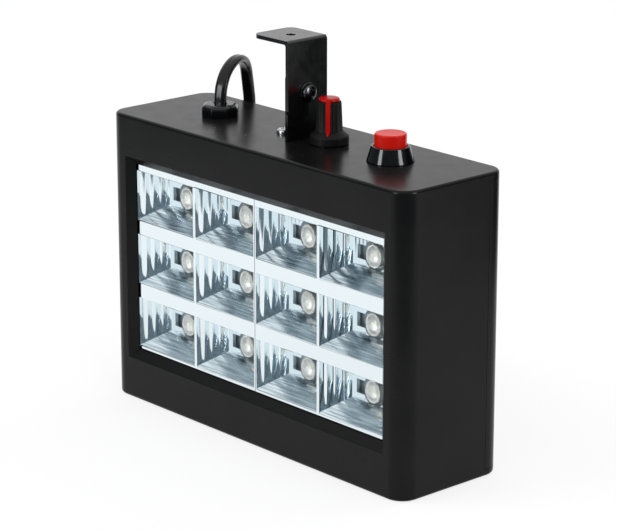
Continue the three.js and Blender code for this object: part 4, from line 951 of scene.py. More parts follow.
def fluted_side(bm):
    """The right side of a cell's plan, from the mouth to the back wall."""
    start = Vector((mouth_half, 0, 0))
    end = Vector((mouth_half - side_draft, cell_depth, 0))
    chord = (end - start).length / flutes
    along = (end - start).normalized()
    outward = Vector((along.y, -along.x, 0))
    radius = (chord * chord / 4 + flute_depth ** 2) / (2 * flute_depth)
    half_arc = math.asin(chord / 2 / radius)
    vert = bm.verts.new(start)
    chain = [vert]
    for flute in range(flutes):
        ridge = start + along * chord * flute
        hub = ridge + along * chord / 2 - outward * (radius - flute_depth)
        made = bmesh.ops.spin(
            bm,
            geom=[chain[-1]],
            cent=hub,
            axis=(0, 0, 1),
            angle=2 * half_arc,
            steps=flute_steps,
            use_merge=False,
        )
        chain.append(made["geom_last"][0])
    return chain[0], chain[-1]


def cell_air():
    """The hollow of one cell, with its mouth at y = 0 and its middle on the Y axis."""
    bm = bmesh.new()
    first, last = fluted_side(bm)
    bmesh.ops.remove_doubles(bm, verts=bm.verts, dist=1e-7)
    lip = bmesh.ops.extrude_vert_indiv(bm, verts=[min(bm.verts, key=lambda v: v.co.y)])
    bmesh.ops.translate(bm, vec=(0, -overrun, 0), verts=lip["verts"])
    bmesh.ops.mirror(bm, geom=bm.verts[:] + bm.edges[:], axis="X", merge_dist=1e-7)
    ends = sorted((v for v in bm.verts if len(v.link_edges) == 1), key=lambda v: v.co.y)
    bm.edges.new(ends[:2])
    bm.edges.new(ends[2:])
    bmesh.ops.contextual_create(bm, geom=bm.edges[:])
    made = bmesh.ops.extrude_face_region(bm, geom=bm.faces[:])["geom"]
    lifted = [g for g in made if isinstance(g, bmesh.types.BMVert)]
    bmesh.ops.translate(bm, vec=(0, 0, 2 * mouth_rise), verts=lifted)
    bmesh.ops.translate(bm, vec=(0, 0, -mouth_rise), verts=bm.verts)
    for side in (1, -1):
        normal = Vector((0, end_draft, side * cell_depth)).normalized()
        cut = bmesh.ops.bisect_plane(
            bm,
            geom=bm.verts[:] + bm.edges[:] + bm.faces[:],
            plane_co=(0, 0, side * mouth_rise),
            plane_no=normal,
            clear_outer=True,
        )["geom_cut"]
        bmesh.ops.holes_fill(bm, edges=[g for g in cut if isinstance(g, bmesh.types.BMEdge)])
    bmesh.ops.remove_doubles(bm, verts=bm.verts, dist=1e-7)
    bmesh.ops.recalc_face_normals(bm, faces=bm.faces)
    return bm


test_air = cell_air()
open_edges = [e for e in test_air.edges if len(e.link_faces) != 2]
print("cell air faces:", len(test_air.faces), "open edges:", len(open_edges))
test_air.free()

# %% [markdown]
# The mouth of the cell stays straight above the front face, so the two slanted planes start at
# the mouth's edge. The round hole for the LED is taller than the back wall and bites into the
# floor and the ceiling. A flat slot behind it takes the LED's flanges.

# %% Cut the trays


def cell_centres(low_x, high_x):
    """The middles of the cells whose LED lies between two places along X."""
    found = []
    for number in range(1, 13):
        place = middle(f"led_{number:02d}")
        if low_x < place.x < high_x:
            found.append(place)
    return found


def tray(name, node):
    low, high = node_box(node)
    made = mesh_object(name, block(low, high))
    for place in cell_centres(low.x, high.x):
        at = Vector((place.x, low.y, place.z))
        air = mesh_object("air", move(cell_air(), None, at))
        hole = turned([(0, 0), (4.8, 0), (4.8, 7), (0, 7)], 48)
        hole_start = at + Vector((0, cell_depth - hole_reach, 0))
        carve(air, mesh_object("hole", move(hole, to_back, hole_start)), "UNION")
        slot = block(
            at + Vector((-slot_width / 2, cell_depth - 1 * mm, -slot_height / 2)),
            at + Vector((slot_width / 2, cell_depth + 4 * mm, slot_height / 2)),
        )
        carve(air, mesh_object("slot", slot), "UNION")
        carve(made, air)

    def cell_lip(edge):
        a, b = (v.co for v in edge.verts)
        level = abs(a.z - b.z) < 1e-6 and abs(a.x - b.x) > mouth_half
        on_front = abs(a.y - low.y) < 1e-6 and abs(b.y - low.y) < 1e-6
        return level and on_front and low.z + 1e-5 < a.z < high.z - 1e-5

    soften(made, cell_lip, 0.3 * mm, 3)
    dress(made, chrome, stands_for=(node,), crisp=24)
    return made


left_tray = tray("left_tray", "reflector_left")
right_tray = tray("right_tray", "reflector_right")
print("tray faces:", len(left_tray.data.polygons), len(right_tray.data.polygons))

# %% [markdown]
# ## LEDs
#
# Each LED is a clear lens with a wide base behind the tray. The lens is an oval, taller than
# wide, and a small round dome stands on it. Inside sit a silvered bowl and a pale chip, which
# the dome magnifies. The lens is turned from one profile, and its wide part is then drawn in
# along X to make the oval. Glass needs a closed shape, and so the bowl and the chip are closed
# shapes of their own inside it.

# %% Make the LEDs


def arc(radius, height, size, start, end, steps):
    """Points of an arc in a profile. Its centre is (radius, height), the angles in degrees."""
    return [
        (
            radius + size * math.cos(math.radians(start + (end - start) * i / steps)),
            height + size * math.sin(math.radians(start + (end - start) * i / steps)),
        )
        for i in range(steps + 1)
    ]


oval_share = 6.3 / 7.1
dome_radius = 2.05
lens_profile = [(0, 0), (4.0, 0), (4.0, 1.0), (3.6, 1.05), (3.55, 1.1)]
lens_profile += arc(3.35, 3.45, 0.2, 0, 90, 4) + [(2.25, 3.65), (2.1, 3.68)]
lens_profile += arc(0, 2.684, 2.266, 27, 90, 10)[:-1] + [(0, 4.95)]
cup_profile = [(0, 0.6), (3.45, 0.6), (3.45, 3.3), (3.0, 3.3), (2.3, 2.5), (0.9, 1.9), (0, 1.9)]


def oval(bm):
    """Draws all that is wider than the dome in along X."""
    wide = [v for v in bm.verts if v.co.xy.length > (dome_radius + 0.1) * mm]
    bmesh.ops.scale(bm, vec=(oval_share, 1, 1), verts=wide)
    return bm


for number in range(1, 13):
    node = f"led_{number:02d}"
    led_low, led_high = node_box(node)
    seat = Vector((middle(node).x, led_high.y, middle(node).z))
    lens_bm = move(oval(turned(lens_profile, 48)), to_front, seat)
    lens_piece = mesh_object(f"lens_{number:02d}", lens_bm)
    dress(lens_piece, lens, stands_for=(node,), crisp=40)
    cup_bm = move(oval(turned(cup_profile, 32)), to_front, seat)
    cup_piece = mesh_object(f"cup_{number:02d}", cup_bm)
    dress(cup_piece, cup, crisp=40)
    chip_bm = rounded_block((-0.0005, -0.0005, 0.00195), (0.0005, 0.0005, 0.0022), 0.0001, 0)
    chip_piece = mesh_object(f"chip_{number:02d}", move(chip_bm, to_front, seat))
    dress(chip_piece, chip)
print("LEDs: 12, lens faces:", len(lens_piece.data.polygons))

# %% [markdown]
# ## Rear cover
#
# A second shell closes the box from behind and wraps round its rear corners. Two thin tongues
# slip inside the front moulding. Four screws sit in round recesses. It is cut from the same
# kind of block as the front, so the two outlines match.

# %% Make the rear cover
cover_low, cover_high = node_box("rear_cover")
cover_wall = 2.0 * mm
seam_y = back_y - cover_wrap + 0.15 * mm

cover_bm = rounded_block(
    (-half_width, -back_y, cover_low.z),
    (half_width, back_y, cover_high.z),
    corner_radius,
    0,
    14,
)
cover = mesh_object("back_shell", cover_bm)
cover_room = rounded_block(
    (-half_width + cover_wall, -back_y - overrun, cover_low.z - overrun),
    (half_width - cover_wall, back_y - cover_wall, cover_high.z + overrun),
    corner_radius - cover_wall,
    0,
    14,
)
carve(cover, mesh_object("room", cover_room))
front_half = block(
    (-half_width - overrun, -back_y - overrun, cover_low.z - overrun),
    (half_width + overrun, seam_y, cover_high.z + overrun),
)
carve(cover, mesh_object("front half", front_half))
for side in (-1, 1):
    ends = sorted((side * (half_width - 3.7 * mm), side * (half_width - 2.5 * mm)))
    root = sorted((side * (half_width - 3.7 * mm), side * (half_width - 1.0 * mm)))
    tongue = block(
        (ends[0], cover_low.y, cover_low.z + corner_radius),
        (ends[1], seam_y + 2.4 * mm, cover_high.z - corner_radius),
    )
    carve(cover, mesh_object("tongue", tongue), "UNION")
    web = block(
        (root[0], seam_y, cover_low.z + corner_radius),
        (root[1], seam_y + 2.4 * mm, cover_high.z - corner_radius),
    )
    carve(cover, mesh_object("web", web), "UNION")
for number in range(1, 5):
    place = middle(f"cover_screw_{number}")
    start = Vector((place.x, back_y - 9.7 * mm, place.z))
    tower = turned([(0, 0), (3.2, 0), (3.2, 8.5), (0, 8.5)], 40)
    carve(cover, mesh_object("tower", move(tower, to_back, start)), "UNION")
    bore = turned([(0, -1), (1.35, -1), (1.35, 6.7), (2.8, 6.7), (2.8, 11), (0, 11)], 40)
    carve(cover, mesh_object("bore", move(bore, to_back, start)))
side_trim = block(
    (-half_width - overrun, -back_y, cover_low.z - 9 * mm),
    (half_width + overrun, back_y + overrun, cover_low.z),
)
carve(cover, mesh_object("trim", side_trim))


def is_sharp(edge, angle=50):
    return len(edge.link_faces) == 2 and edge.calc_face_angle(0) > math.radians(angle)


def on_back_face(edge):
    return is_sharp(edge) and all(abs(v.co.y - back_y) < 1e-5 for v in edge.verts)


print("back edges:", soften(cover, on_back_face, 0.35 * mm, 3))
dress(cover, satin_black, stands_for=("rear_cover",), crisp=28)

# %% [markdown]
# ## Screws
#
# All visible screws are small pan heads with a crossed recess, in bright plated steel; the pivot's
# screw and its washer get a far darker colour. One function turns the head, cuts the cross and puts the screw
# in place.

# %% Make the screws


def plated_steel():
    """Zinc plate, bright with fine turning marks."""
    material, shader = finish("plated steel", (0.5, 0.5, 0.51), 0.18, metallic=1.0)
    vary_colour(material, shader, (0.42, 0.42, 0.43), (0.58, 0.58, 0.59), 0.6)
    vary_roughness(material, shader, 0.12, 0.26, 1.2)
    add_bump(material, shader, 2.5, 0.006, 2.0)
    return material


def dark_toned_metal():
    """The pivot's screw and washer: the plated steel's shader with a far darker colour."""
    material, shader = finish("dark nickel", (0.07, 0.07, 0.075), 0.2, metallic=1.0)
    vary_colour(material, shader, (0.05, 0.05, 0.055), (0.09, 0.09, 0.095), 0.6)
    vary_roughness(material, shader, 0.14, 0.28, 1.2)
    add_bump(material, shader, 2.5, 0.006, 2.0)
    return material


plated = plated_steel()
toned_metal = dark_toned_metal()


def pan_screw(node, head_radius, head_height, shank_radius, turn, seat, metal=plated):
    """A pan head screw along Z, turned and moved to its seat. Sizes are in millimetres."""
    low, high = node_box(node)
    length = max(high - low) / mm - head_height
    crown = head_radius * 0.72
    profile = [(0, -length), (shank_radius * 0.7, -length), (shank_radius, 0.6 - length)]
    profile += [(shank_radius, 0), (head_radius, 0), (head_radius, head_height * 0.4)]
    profile += [
        (head_radius * math.cos(t) ** 0.8, head_height * (0.4 + 0.6 * math.sin(t)))
        for t in (0.35, 0.65, 0.95, 1.25)
    ]
    profile += [(0, head_height)]
    screw = mesh_object(node.replace("screw", "pan_head"), turned(profile, 40))
    for angle in (0, 90):
        slot_low = Vector((-crown, -0.22 * head_radius, head_height * 0.4)) * mm
        slot_high = Vector((crown, 0.22 * head_radius, head_height + 1)) * mm
        cross = block(slot_low, slot_high)
        floor = [v for v in cross.verts if v.co.z < slot_low.z + 1e-6]
        bmesh.ops.scale(cross, vec=(0.35, 0.6, 1), verts=floor)
        move(cross, Matrix.Rotation(math.radians(angle + 20), 4, "Z"))
        carve(screw, mesh_object("cross", cross))
    screw.data.transform(Matrix.Translation(seat) @ turn)
    dress(screw, metal, "housing", (node,), crisp=35)
    return screw


for number in range(1, 5):
    node = f"cover_screw_{number}"
    seat = Vector((middle(node).x, back_y - 2.95 * mm, middle(node).z))
    pan_screw(node, 2.4, 1.7, 1.2, to_back, seat)
foot = middle("bracket_foot_screw")
pan_screw("bracket_foot_screw", 2.2, 1.5, 1.2, Matrix(), Vector((foot.x, foot.y, top_z + 0.05 * mm)))
pivot_box = node_box("pivot_screw")
pivot = middle("pivot_screw")
pivot_seat = Vector((pivot_box[1].x - 1.5 * mm, pivot.y, pivot.z))
pan_screw("pivot_screw", 2.6, 1.5, 1.45, to_right, pivot_seat, toned_metal)

washer_low, washer_high = node_box("pivot_washer")
washer = turned([(0, 0), (3.0, 0), (3.1, 0.1), (3.1, 0.4), (3.0, 0.5), (0, 0.5)], 40)
washer_place = Vector((washer_low.x, pivot.y, pivot.z))
washer_piece = mesh_object("flat_washer", move(washer, to_right, washer_place))
washer_hole = turned([(0, -1), (1.6, -1), (1.6, 2), (0, 2)], 32)
carve(washer_piece, mesh_object("hole", move(washer_hole, to_right, washer_place)))
dress(washer_piece, toned_metal, "housing", ("pivot_washer",))
print("screws and washer are in place")

# %% [markdown]
# ## Hanging bracket
#
# The bracket is two pieces of folded steel, painted black. The lower ear comes up through the
# top from a foot inside. The upper arm turns on the pivot screw and ends in a holed flange.
# Each is two plates joined at a right angle. The outer and inner edges of the fold are then
# rounded by bevels whose radii differ by the thickness of the sheet, as in a real fold.

# %% Make the bracket
sheet = 1.2 * mm
fold_radius = 1.9 * mm
plate_corner = 2.8 * mm


def near(value, target):
    return abs(value - target) < 2e-5


def both(edge, axis, target):
    return all(near(v.co[axis], target) for v in edge.verts)


def folded(name, node, flat_at_top, reach, holes):
    """Two plates joined at a fold. Reach makes the flat one longer than the frame's."""
    low, high = node_box(node)
    low += Vector((-reach, -0.3 * mm, 0))
    high += Vector((0, 0.6 * mm, 0))
    upright = block((high.x - sheet, low.y, low.z), high)
    made = mesh_object(name, upright)
    flat_z = (high.z - sheet, high.z) if flat_at_top else (low.z, low.z + sheet)
    flat = block((low.x, low.y, flat_z[0]), (high.x - sheet / 2, high.y, flat_z[1]))
    carve(made, mesh_object("flat", flat), "UNION")
    outer_z = high.z if flat_at_top else low.z
    inner_z = outer_z - sheet if flat_at_top else outer_z + sheet
    far_z = low.z if flat_at_top else high.z

    def outer_fold(edge):
        return both(edge, 0, high.x) and both(edge, 2, outer_z)

    def inner_fold(edge):
        return both(edge, 0, high.x - sheet) and both(edge, 2, inner_z)

    def plate_ends(edge):
        a, b = (v.co for v in edge.verts)
        flat_end = both(edge, 0, low.x) and abs(a.z - b.z) > sheet / 2
        far_end = both(edge, 2, far_z) and abs(a.x - b.x) > sheet / 2
        return flat_end or far_end

    soften(made, outer_fold, fold_radius, 8)
    soften(made, inner_fold, fold_radius - sheet, 6)
    soften(made, plate_ends, plate_corner, 8)
    for radius, turn, place in holes:
        drill = turned([(0, -4), (radius, -4), (radius, 4), (0, 4)], 32)
        carve(made, mesh_object("drill", move(drill, turn, place)))
    soften(made, is_sharp, 0.12 * mm, 2)
    return made


def painted_steel():
    """Semi-gloss black paint with a slight orange peel."""
    material, shader = finish("black paint", (0.002, 0.002, 0.002), 0.2)
    ramp = vary_colour(material, shader, (0.0015, 0.0015, 0.0015), (0.003, 0.003, 0.003), 0.1)
    edge_wear_and_sheen(material, shader, ramp, (0.03, 0.03, 0.03), 0.5)
    vary_roughness(material, shader, 0.16, 0.25, 0.3)
    add_bump(material, shader, 0.9, 0.012, 2.0)
    return material


black_paint = painted_steel()
flange_hole = Vector((-5 * mm, pivot.y, node_box("mounting_arm")[1].z))
foot_hole = Vector((foot.x, foot.y, node_box("mounting_ear")[0].z))
pivot_hole = (1.6, to_right, Vector((1 * mm, pivot.y, pivot.z)))
ear_holes = [pivot_hole, (1.35, Matrix(), foot_hole)]
arm_holes = [pivot_hole, (1.5, Matrix(), flange_hole)]
ear = folded("lower_ear", "mounting_ear", False, 0, ear_holes)
dress(ear, black_paint, "housing", ("mounting_ear",), crisp=30)
arm = folded("upper_arm", "mounting_arm", True, 1.9 * mm, arm_holes)
dress(arm, black_paint, "arm", ("mounting_arm",), crisp=30)
print("bracket faces:", len(ear.data.polygons) + len(arm.data.polygons))

# %% [markdown]
# ## Speed knob
#
# A fluted black knob on a wide skirt. A red cap closes its top, and a red bar runs from the
# cap down one side and ends in a point on the skirt. The fluted body is one wavy ring that is
# extruded upwards and drawn in. The skirt is turned.

# %% Make the knob
knob_low, knob_high = node_box("speed_knob")
knob_place = Vector((middle("speed_knob").x, middle("speed_knob").y, knob_low.z))
pointer_turn = Matrix.Rotation(math.radians(-48), 4, "Z")


def matt_plastic():
    material, shader = finish("matt black plastic", (0.005, 0.005, 0.005), 0.45, specular=0.12)
    ramp = vary_colour(material, shader, (0.004, 0.004, 0.004), (0.007, 0.007, 0.007), 0.2)
    edge_wear_and_sheen(material, shader, ramp, (0.07, 0.07, 0.07), 0.6)
    vary_roughness(material, shader, 0.42, 0.56, 0.5)
    add_bump(material, shader, 3.0, 0.008, 1.0)
    return material


def glossy_red(name, dark, pale, edge):
    """Moulded red, with a painted glow on its edges. The button is brighter than the knob's cap."""
    material, shader = finish(name, dark, 0.2, specular=0.12)
    ramp = vary_colour(material, shader, dark, pale, 0.15)
    # The edge colour is a painted glow at the rims.
    edge_wear_and_sheen(material, shader, ramp, edge, 0.8)
    vary_roughness(material, shader, 0.16, 0.26, 0.4)
    add_bump(material, shader, 0.6, 0.01, 1.0)
    return material


matt_black = matt_plastic()
# The last colour of each red is its painted edge glow.
crimson = glossy_red("crimson plastic", (0.36, 0.003, 0.002), (0.41, 0.004, 0.003), (0.60, 0.02, 0.01))
signal_red = glossy_red("signal red plastic", (0.54, 0.006, 0.001), (0.60, 0.008, 0.002), (0.82, 0.05, 0.005))


def fluted_body(bottom_radius, top_radius, bottom, top, depth, flutes):
    """A tapering column with upright grooves. The top rim is rounded."""
    bm = bmesh.new()
    ring = bmesh.ops.create_circle(bm, segments=flutes * 8, radius=1)["verts"]
    shape = []
    for vert in ring:
        angle = math.atan2(vert.co.y, vert.co.x)
        groove = (0.5 + 0.5 * math.cos(flutes * angle)) ** 1.5
        shape.append((vert.co.copy(), groove))
    edges = bm.edges[:]
    bmesh.ops.contextual_create(bm, geom=edges)
    stages = [(bottom, bottom_radius, 1), (top - 0.5, top_radius, 1)]
    stages += [(top - 0.15, top_radius - 0.12, 0.8), (top, top_radius - 0.5, 0.4)]
    for index, (height, radius, share) in enumerate(stages):
        if index:
            made = bmesh.ops.extrude_edge_only(bm, edges=edges)["geom"]
            ring = [g for g in made if isinstance(g, bmesh.types.BMVert)]
            edges = [g for g in made if isinstance(g, bmesh.types.BMEdge)]
            edges = [e for e in edges if all(v in ring for v in e.verts)]
        for vert in ring:
            angle = math.atan2(vert.co.y, vert.co.x)
            groove = (0.5 + 0.5 * math.cos(flutes * angle)) ** 1.5
            local = (radius - depth * share * groove) * mm
            vert.co = Vector((math.cos(angle) * local, math.sin(angle) * local, height * mm))
    bmesh.ops.contextual_create(bm, geom=edges)
    bmesh.ops.recalc_face_normals(bm, faces=bm.faces)
    return bm


grip_low, grip_high = 4.15, 3.7
skirt_side, skirt_top, grip_top = 2.4, 3.8, 12.9
pointer_half = 0.72 * mm

skirt_profile = [(0, 0), (5.8, 0), (5.95, 0.15), (5.95, skirt_side - 0.2)]
skirt_profile += [(5.88, skirt_side - 0.03), (5.7, skirt_side + 0.12)]
skirt_profile += [(4.4, skirt_top - 0.1), (4.2, skirt_top), (0, skirt_top)]
knob_piece = mesh_object("fluted_knob", turned(skirt_profile, 72))
grip = fluted_body(grip_low, grip_high, skirt_side, grip_top, 0.3, 18)
carve(knob_piece, mesh_object("grip", grip), "UNION")


def pointer_bar(half, depth, bottom, top, proud):
    """A bar that leans with the side of the knob."""
    bar = block((0, -half, bottom), (depth, half, top))
    low = [v for v in bar.verts if near(v.co.z, bottom)]
    high = [v for v in bar.verts if near(v.co.z, top)]
    bmesh.ops.translate(bar, vec=(grip_low * mm + proud - depth, 0, 0), verts=low)
    bmesh.ops.translate(bar, vec=(grip_high * mm + proud - depth, 0, 0), verts=high)
    return bar


groove_low, groove_high = (skirt_top - 0.15) * mm, (grip_top + 1) * mm
groove = pointer_bar(pointer_half + 0.15 * mm, 2.3 * mm, groove_low, groove_high, 1.2 * mm)
carve(knob_piece, mesh_object("groove", groove))
bore = turned([(0, -1), (4.9, -1), (4.9, 2.4), (2.15, 2.4), (2.15, 9.2), (0, 9.2)], 40)
carve(knob_piece, mesh_object("bore", bore))
knob_piece.data.transform(Matrix.Translation(knob_place) @ pointer_turn)
dress(knob_piece, matt_black, "knob", ("speed_knob",), crisp=40)

cap_low = grip_top + 0.05
cap_profile = [(0, cap_low), (3.0, cap_low), (3.15, cap_low + 0.15), (3.15, cap_low + 0.45)]
cap_profile += arc(2.65, cap_low + 0.45, 0.5, 0, 80, 5)[1:]
cap_profile += [(1.6, cap_low + 0.99), (0, cap_low + 1)]
cap_piece = mesh_object("red_cap", turned(cap_profile, 48))
bar = pointer_bar(pointer_half, 1.2 * mm, skirt_top * mm, (cap_low + 0.4) * mm, 0.35 * mm)
bar_piece = mesh_object("bar", bar)
soften(bar_piece, is_sharp, 0.12 * mm, 2)
carve(cap_piece, bar_piece, "UNION")
tip_low = (skirt_top + 0.02) * mm
tip = block((3.6 * mm, -pointer_half, tip_low), (5.6 * mm, pointer_half, tip_low + 0.38 * mm))
point = [v for v in tip.verts if v.co.x > 5 * mm]
bmesh.ops.scale(tip, vec=(1, 0.12, 1), verts=point)
bmesh.ops.translate(tip, vec=(0, 0, -0.8 * mm), verts=point)
carve(cap_piece, mesh_object("tip", tip), "UNION")
cap_piece.data.transform(Matrix.Translation(knob_place) @ pointer_turn)
dress(cap_piece, crimson, "knob", ("knob_cap",), crisp=40)
print("knob faces:", len(knob_piece.data.polygons))

# %% [markdown]
# ## Push button
#
# A glossy black body with a conical bezel holds a red cap. Both are round, so both are turned.

# %% Make the button
button_centre = middle("button_cap")
button_place = Vector((button_centre.x, button_centre.y, top_z))


def glossy_black():
    material, shader = finish("glossy black plastic", (0.002, 0.002, 0.002), 0.12, specular=0.38)
    vary_colour(material, shader, (0.0015, 0.0015, 0.0015), (0.003, 0.003, 0.003), 0.2)
    vary_roughness(material, shader, 0.08, 0.18, 0.4)
    add_bump(material, shader, 0.4, 0.012, 1.0)
    return material


gloss = glossy_black()
bezel_profile = [(0, -12), (5.0, -12), (5.0, -9.5), (5.7, -9.5), (5.85, -9.35), (5.85, 0.05)]
bezel_profile += [(7.0, 0.05), (7.1, 0.15), (7.1, 0.35), (7.02, 0.5)]
bezel_profile += [(5.82, 4.4), (5.75, 4.56), (5.6, 4.65), (5.2, 4.65), (5.05, 4.5)]
bezel_profile += [(5.05, -6), (0, -6)]
bezel_piece = mesh_object("button_bezel", move(turned(bezel_profile, 72), None, button_place))
dress(bezel_piece, gloss, "housing", ("button_body",), crisp=40)

push_profile = [(0, -1.5), (1.6, -1.5), (1.6, 7.0), (3.8, 7.0), (3.8, 1.0), (4.8, 1.0)]
push_profile += arc(4.3, 7.9, 0.5, 0, 90, 5) + [(4.0, 8.38), (0, 8.3)]
push_piece = mesh_object("red_button", move(turned(push_profile, 64), None, button_place))
dress(push_piece, signal_red, "button", ("button_cap",), crisp=40)
print("button faces:", len(bezel_piece.data.polygons) + len(push_piece.data.polygons))

# %% [markdown]
# ## Strain relief
#
# The cord leaves through a clamped bushing with an eight-sided glossy head. A cone with eight
# sides gives the head, and a bevel rounds its upper edges. A shallow parting line runs over it.

# %% Make the strain relief
relief_low, relief_high = node_box("strain_relief")
relief_place = Vector(((relief_low.x + relief_high.x) / 2, (relief_low.y + relief_high.y) / 2, top_z))
head_flats = 11.1 * mm
head_height = 3.7 * mm

head = bmesh.new()
bmesh.ops.create_cone(
    head,
    cap_ends=True,
    segments=8,
    radius1=head_flats / 2 / math.cos(math.pi / 8),
    radius2=head_flats / 2 / math.cos(math.pi / 8),
    depth=head_height - 0.05 * mm,
)
move(head, Matrix.Rotation(math.pi / 8, 4, "Z"), (0, 0, head_height / 2 + 0.025 * mm))
relief_piece = mesh_object("bushing_head", head)


def top_rim(edge):
    return both(edge, 2, head_height)


soften(relief_piece, top_rim, 1.6 * mm, 5)
soften(relief_piece, lambda e: is_sharp(e, 30), 0.15 * mm, 2)
neck = [(0, -5.85), (3.9, -5.85), (4.6, -2.25), (3.9, -2.25), (3.9, 1), (0, 1)]
carve(relief_piece, mesh_object("neck", turned(neck, 48)), "UNION")
parting = block(
    (-10 * mm, -0.25 * mm, head_height - 0.7 * mm), (10 * mm, 0.25 * mm, head_height + 1 * mm)
)
carve(relief_piece, mesh_object("parting", parting))
seat_bm = bmesh.new()
seat_ring = flat_section(seat_bm, cord_width + 0.6 * mm, cord_thickness + 0.6 * mm, 32)
bmesh.ops.contextual_create(seat_bm, geom=seat_ring)
made = bmesh.ops.extrude_face_region(seat_bm, geom=seat_bm.faces[:])["geom"]
raised = [g for g in made if isinstance(g, bmesh.types.BMVert)]
bmesh.ops.translate(seat_bm, vec=(0, 0, 4 * mm), verts=raised)
bmesh.ops.recalc_face_normals(seat_bm, faces=seat_bm.faces)
move(seat_bm, Matrix.Rotation(math.atan2(0.44, 0.897), 4, "Z"), (0, 0, head_height - 2.2 * mm))
carve(relief_piece, mesh_object("seat", seat_bm))
relief_piece.data.transform(Matrix.Translation(relief_place))
dress(relief_piece, gloss, "housing", ("strain_relief",), crisp=30)
print("strain relief faces:", len(relief_piece.data.polygons))

# %% [markdown]
# ## Tie and plug
#
# A band holds the coil together. The cord ends in a moulded two-blade plug with a ribbed
# bend relief. They lie behind the box, so the photo doesn't show them.

# %% Make the tie
tie_low, tie_high = node_box("cord_tie")
tie_angle = math.radians(140)
inner_radius = coil_radius - turn_pitch * coil_turns / 2
band_low = inner_radius - cord_thickness / 2 - 0.3 * mm
band_high = coil_radius + cord_thickness / 2 + 0.3 * mm
band_top = floor_lift + cord_width + layer_pitch + 0.3 * mm
band_thickness = 0.6 * mm
band = block(
    (band_low - band_thickness, -2.25 * mm, 0),
    (band_high + band_thickness, 2.25 * mm, band_top + band_thickness),
)
band_piece = mesh_object("tie_band", band)
soften(band_piece, lambda e: abs(e.verts[0].co.y - e.verts[1].co.y) > 1e-3, 1.2 * mm, 5)
hollow = block((band_low, -5 * mm, band_thickness), (band_high, 5 * mm, band_top))
hollow_piece = mesh_object("hollow", hollow)
soften(hollow_piece, lambda e: abs(e.verts[0].co.y - e.verts[1].co.y) > 1e-3, 0.6 * mm, 5)
carve(band_piece, hollow_piece)
clasp = rounded_block(
    (band_high - 8 * mm, -3.2 * mm, band_top + 0.3 * mm),
    (band_high - 3 * mm, 3.2 * mm, band_top + 4 * mm),
    0.6 * mm,
    0.4 * mm,
    4,
    2,
)
carve(band_piece, mesh_object("clasp", clasp), "UNION")
band_piece.data.transform(Matrix.Translation(coil_centre) @ Matrix.Rotation(tie_angle, 4, "Z"))


def nylon():
    material, shader = finish("black nylon", (0.015, 0.015, 0.016), 0.45)
    ramp = vary_colour(material, shader, (0.012, 0.012, 0.013), (0.02, 0.02, 0.021), 0.3)
    edge_wear_and_sheen(material, shader, ramp, (0.05, 0.05, 0.05), 0.5)
    vary_roughness(material, shader, 0.38, 0.52, 0.6)
    add_bump(material, shader, 1.5, 0.015, 1.0)
    return material


black_nylon = nylon()
dress(band_piece, black_nylon, "housing", ("cord_tie",))

# %% Make the plug
plug_heading = (tail_points[-1] - tail_points[-2]).normalized()
plug_start = tail_points[-1] + plug_heading * 0.3 * mm
plug_turn = Matrix.Rotation(math.atan2(plug_heading.y, plug_heading.x), 4, "Z")

relief = [(0, 0), (2.0, 0), (2.2, 0.2)]
for rib in range(5):
    radius = 2.3 + 0.32 * rib
    start = 1.0 + 2.5 * rib
    relief += [(radius, start), (radius - 0.5, start + 0.2)]
    relief += [(radius - 0.45, start + 1.1), (radius + 0.15, start + 1.3)]
relief += [(4.0, 14), (4.0, 15), (0, 15)]
plug_piece = mesh_object("moulded_plug", move(turned(relief, 40), to_right))
half_plug = Vector((10 * mm, plug_thickness / 2, 0))
body_bm = rounded_block(up * 14 * mm - half_plug, up * 40 * mm + half_plug, 4 * mm, 2 * mm, 8, 5)
on_its_side = to_right @ Matrix.Rotation(math.pi / 2, 4, "Z")
carve(plug_piece, mesh_object("body", move(body_bm, on_its_side)), "UNION")
plug_piece.data.transform(Matrix.Translation(plug_start) @ plug_turn)
dress(plug_piece, black_skin, "housing", ("plug_body",), crisp=35)


def brass_finish():
    material, shader = finish("brass", (0.72, 0.52, 0.22), 0.28, metallic=1.0)
    vary_colour(material, shader, (0.64, 0.45, 0.18), (0.78, 0.58, 0.28), 0.4)
    vary_roughness(material, shader, 0.2, 0.36, 0.8, (6, 1, 1))
    add_bump(material, shader, 2.0, 0.006, 1.0, (8, 1, 1))
    return material


brass = brass_finish()


def tip_corner(edge):
    return both(edge, 0, 57.05 * mm) and not near(edge.verts[0].co.y, edge.verts[1].co.y)


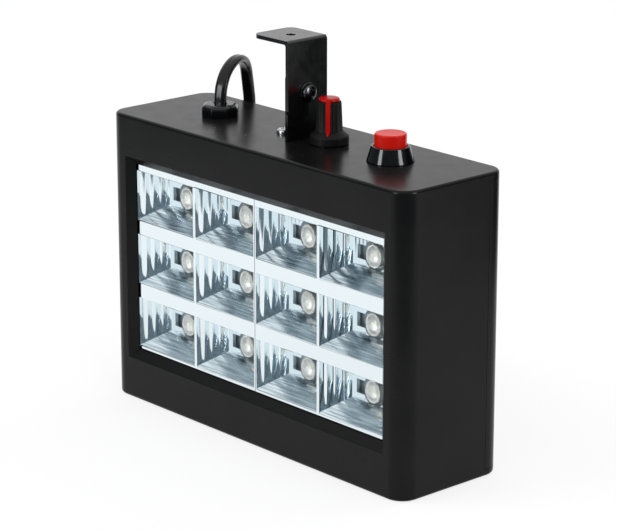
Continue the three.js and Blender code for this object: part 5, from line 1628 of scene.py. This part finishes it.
for name, side in (("left", -1), ("right", 1)):
    blade = block((40.05 * mm, -0.75 * mm, -3.15 * mm), (57.05 * mm, 0.75 * mm, 3.15 * mm))
    blade_piece = mesh_object(f"blade_{name}", blade)
    soften(blade_piece, tip_corner, 1.2 * mm, 4)
    soften(blade_piece, lambda e: is_sharp(e, 60), 0.15 * mm, 2)
    hole = turned([(0, -2), (1.6, -2), (1.6, 2), (0, 2)], 24)
    carve(blade_piece, mesh_object("hole", move(hole, to_front, (52 * mm, 0, 0))))
    offset = Matrix.Translation((0, side * 6.35 * mm, 0))
    blade_piece.data.transform(Matrix.Translation(plug_start) @ plug_turn @ offset)
    dress(blade_piece, brass, "housing", (f"plug_blade_{name}",))
print("plug faces:", len(plug_piece.data.polygons))

# %% [markdown]
# ## The parts inside
#
# Boards, capacitors, the potentiometer and the small fasteners keep the shapes of the frame.
# Each gets a finish with its own grain.

# %% Finish the inner parts


def inner(name, first, second, roughness, metallic=0.0, grain=0.4, stretch=(1, 1, 1)):
    material, shader = finish(name, first, roughness, metallic)
    vary_colour(material, shader, first, second, grain, stretch)
    vary_roughness(material, shader, roughness * 0.8, roughness * 1.2, grain * 2, stretch)
    add_bump(material, shader, grain * 4, 0.01, 2.0, stretch)
    return material


inner_finishes = {
    "board_black": board_black,
    "board_green": inner("green board", (0.02, 0.12, 0.05), (0.03, 0.16, 0.08), 0.35),
    "part_yellow": inner("yellow case", (0.58, 0.36, 0.05), (0.66, 0.44, 0.09), 0.4),
    "part_blue": inner("blue sleeve", (0.03, 0.08, 0.28), (0.05, 0.11, 0.34), 0.25),
    "part_black": inner("moulded case", (0.018, 0.018, 0.018), (0.03, 0.03, 0.03), 0.5),
    "part_aluminium": inner(
        "turned aluminium", (0.66, 0.67, 0.68), (0.78, 0.79, 0.80), 0.3, 1.0, 0.6, (1, 1, 0.1)
    ),
    "spring_steel": inner("drawn wire", (0.5, 0.51, 0.52), (0.66, 0.67, 0.68), 0.3, 1.0, 0.8),
    "screw_steel": plated,
    "brass": brass,
}
slots = {row["node"]: row["material_slot"] for row in frame["record"]["subparts"]}
kept = 0
for node, made in frame["nodes"].items():
    if slots[node] in inner_finishes and not made.hide_render:
        for place in made.material_slots:
            place.material = inner_finishes[slots[node]]
        kept += 1
print("nodes with their own finish:", kept)

# %% Finish
low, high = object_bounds()
size = {"cad": [list(c) for c in cad_bounds], "visual": [list(low), list(high)]}
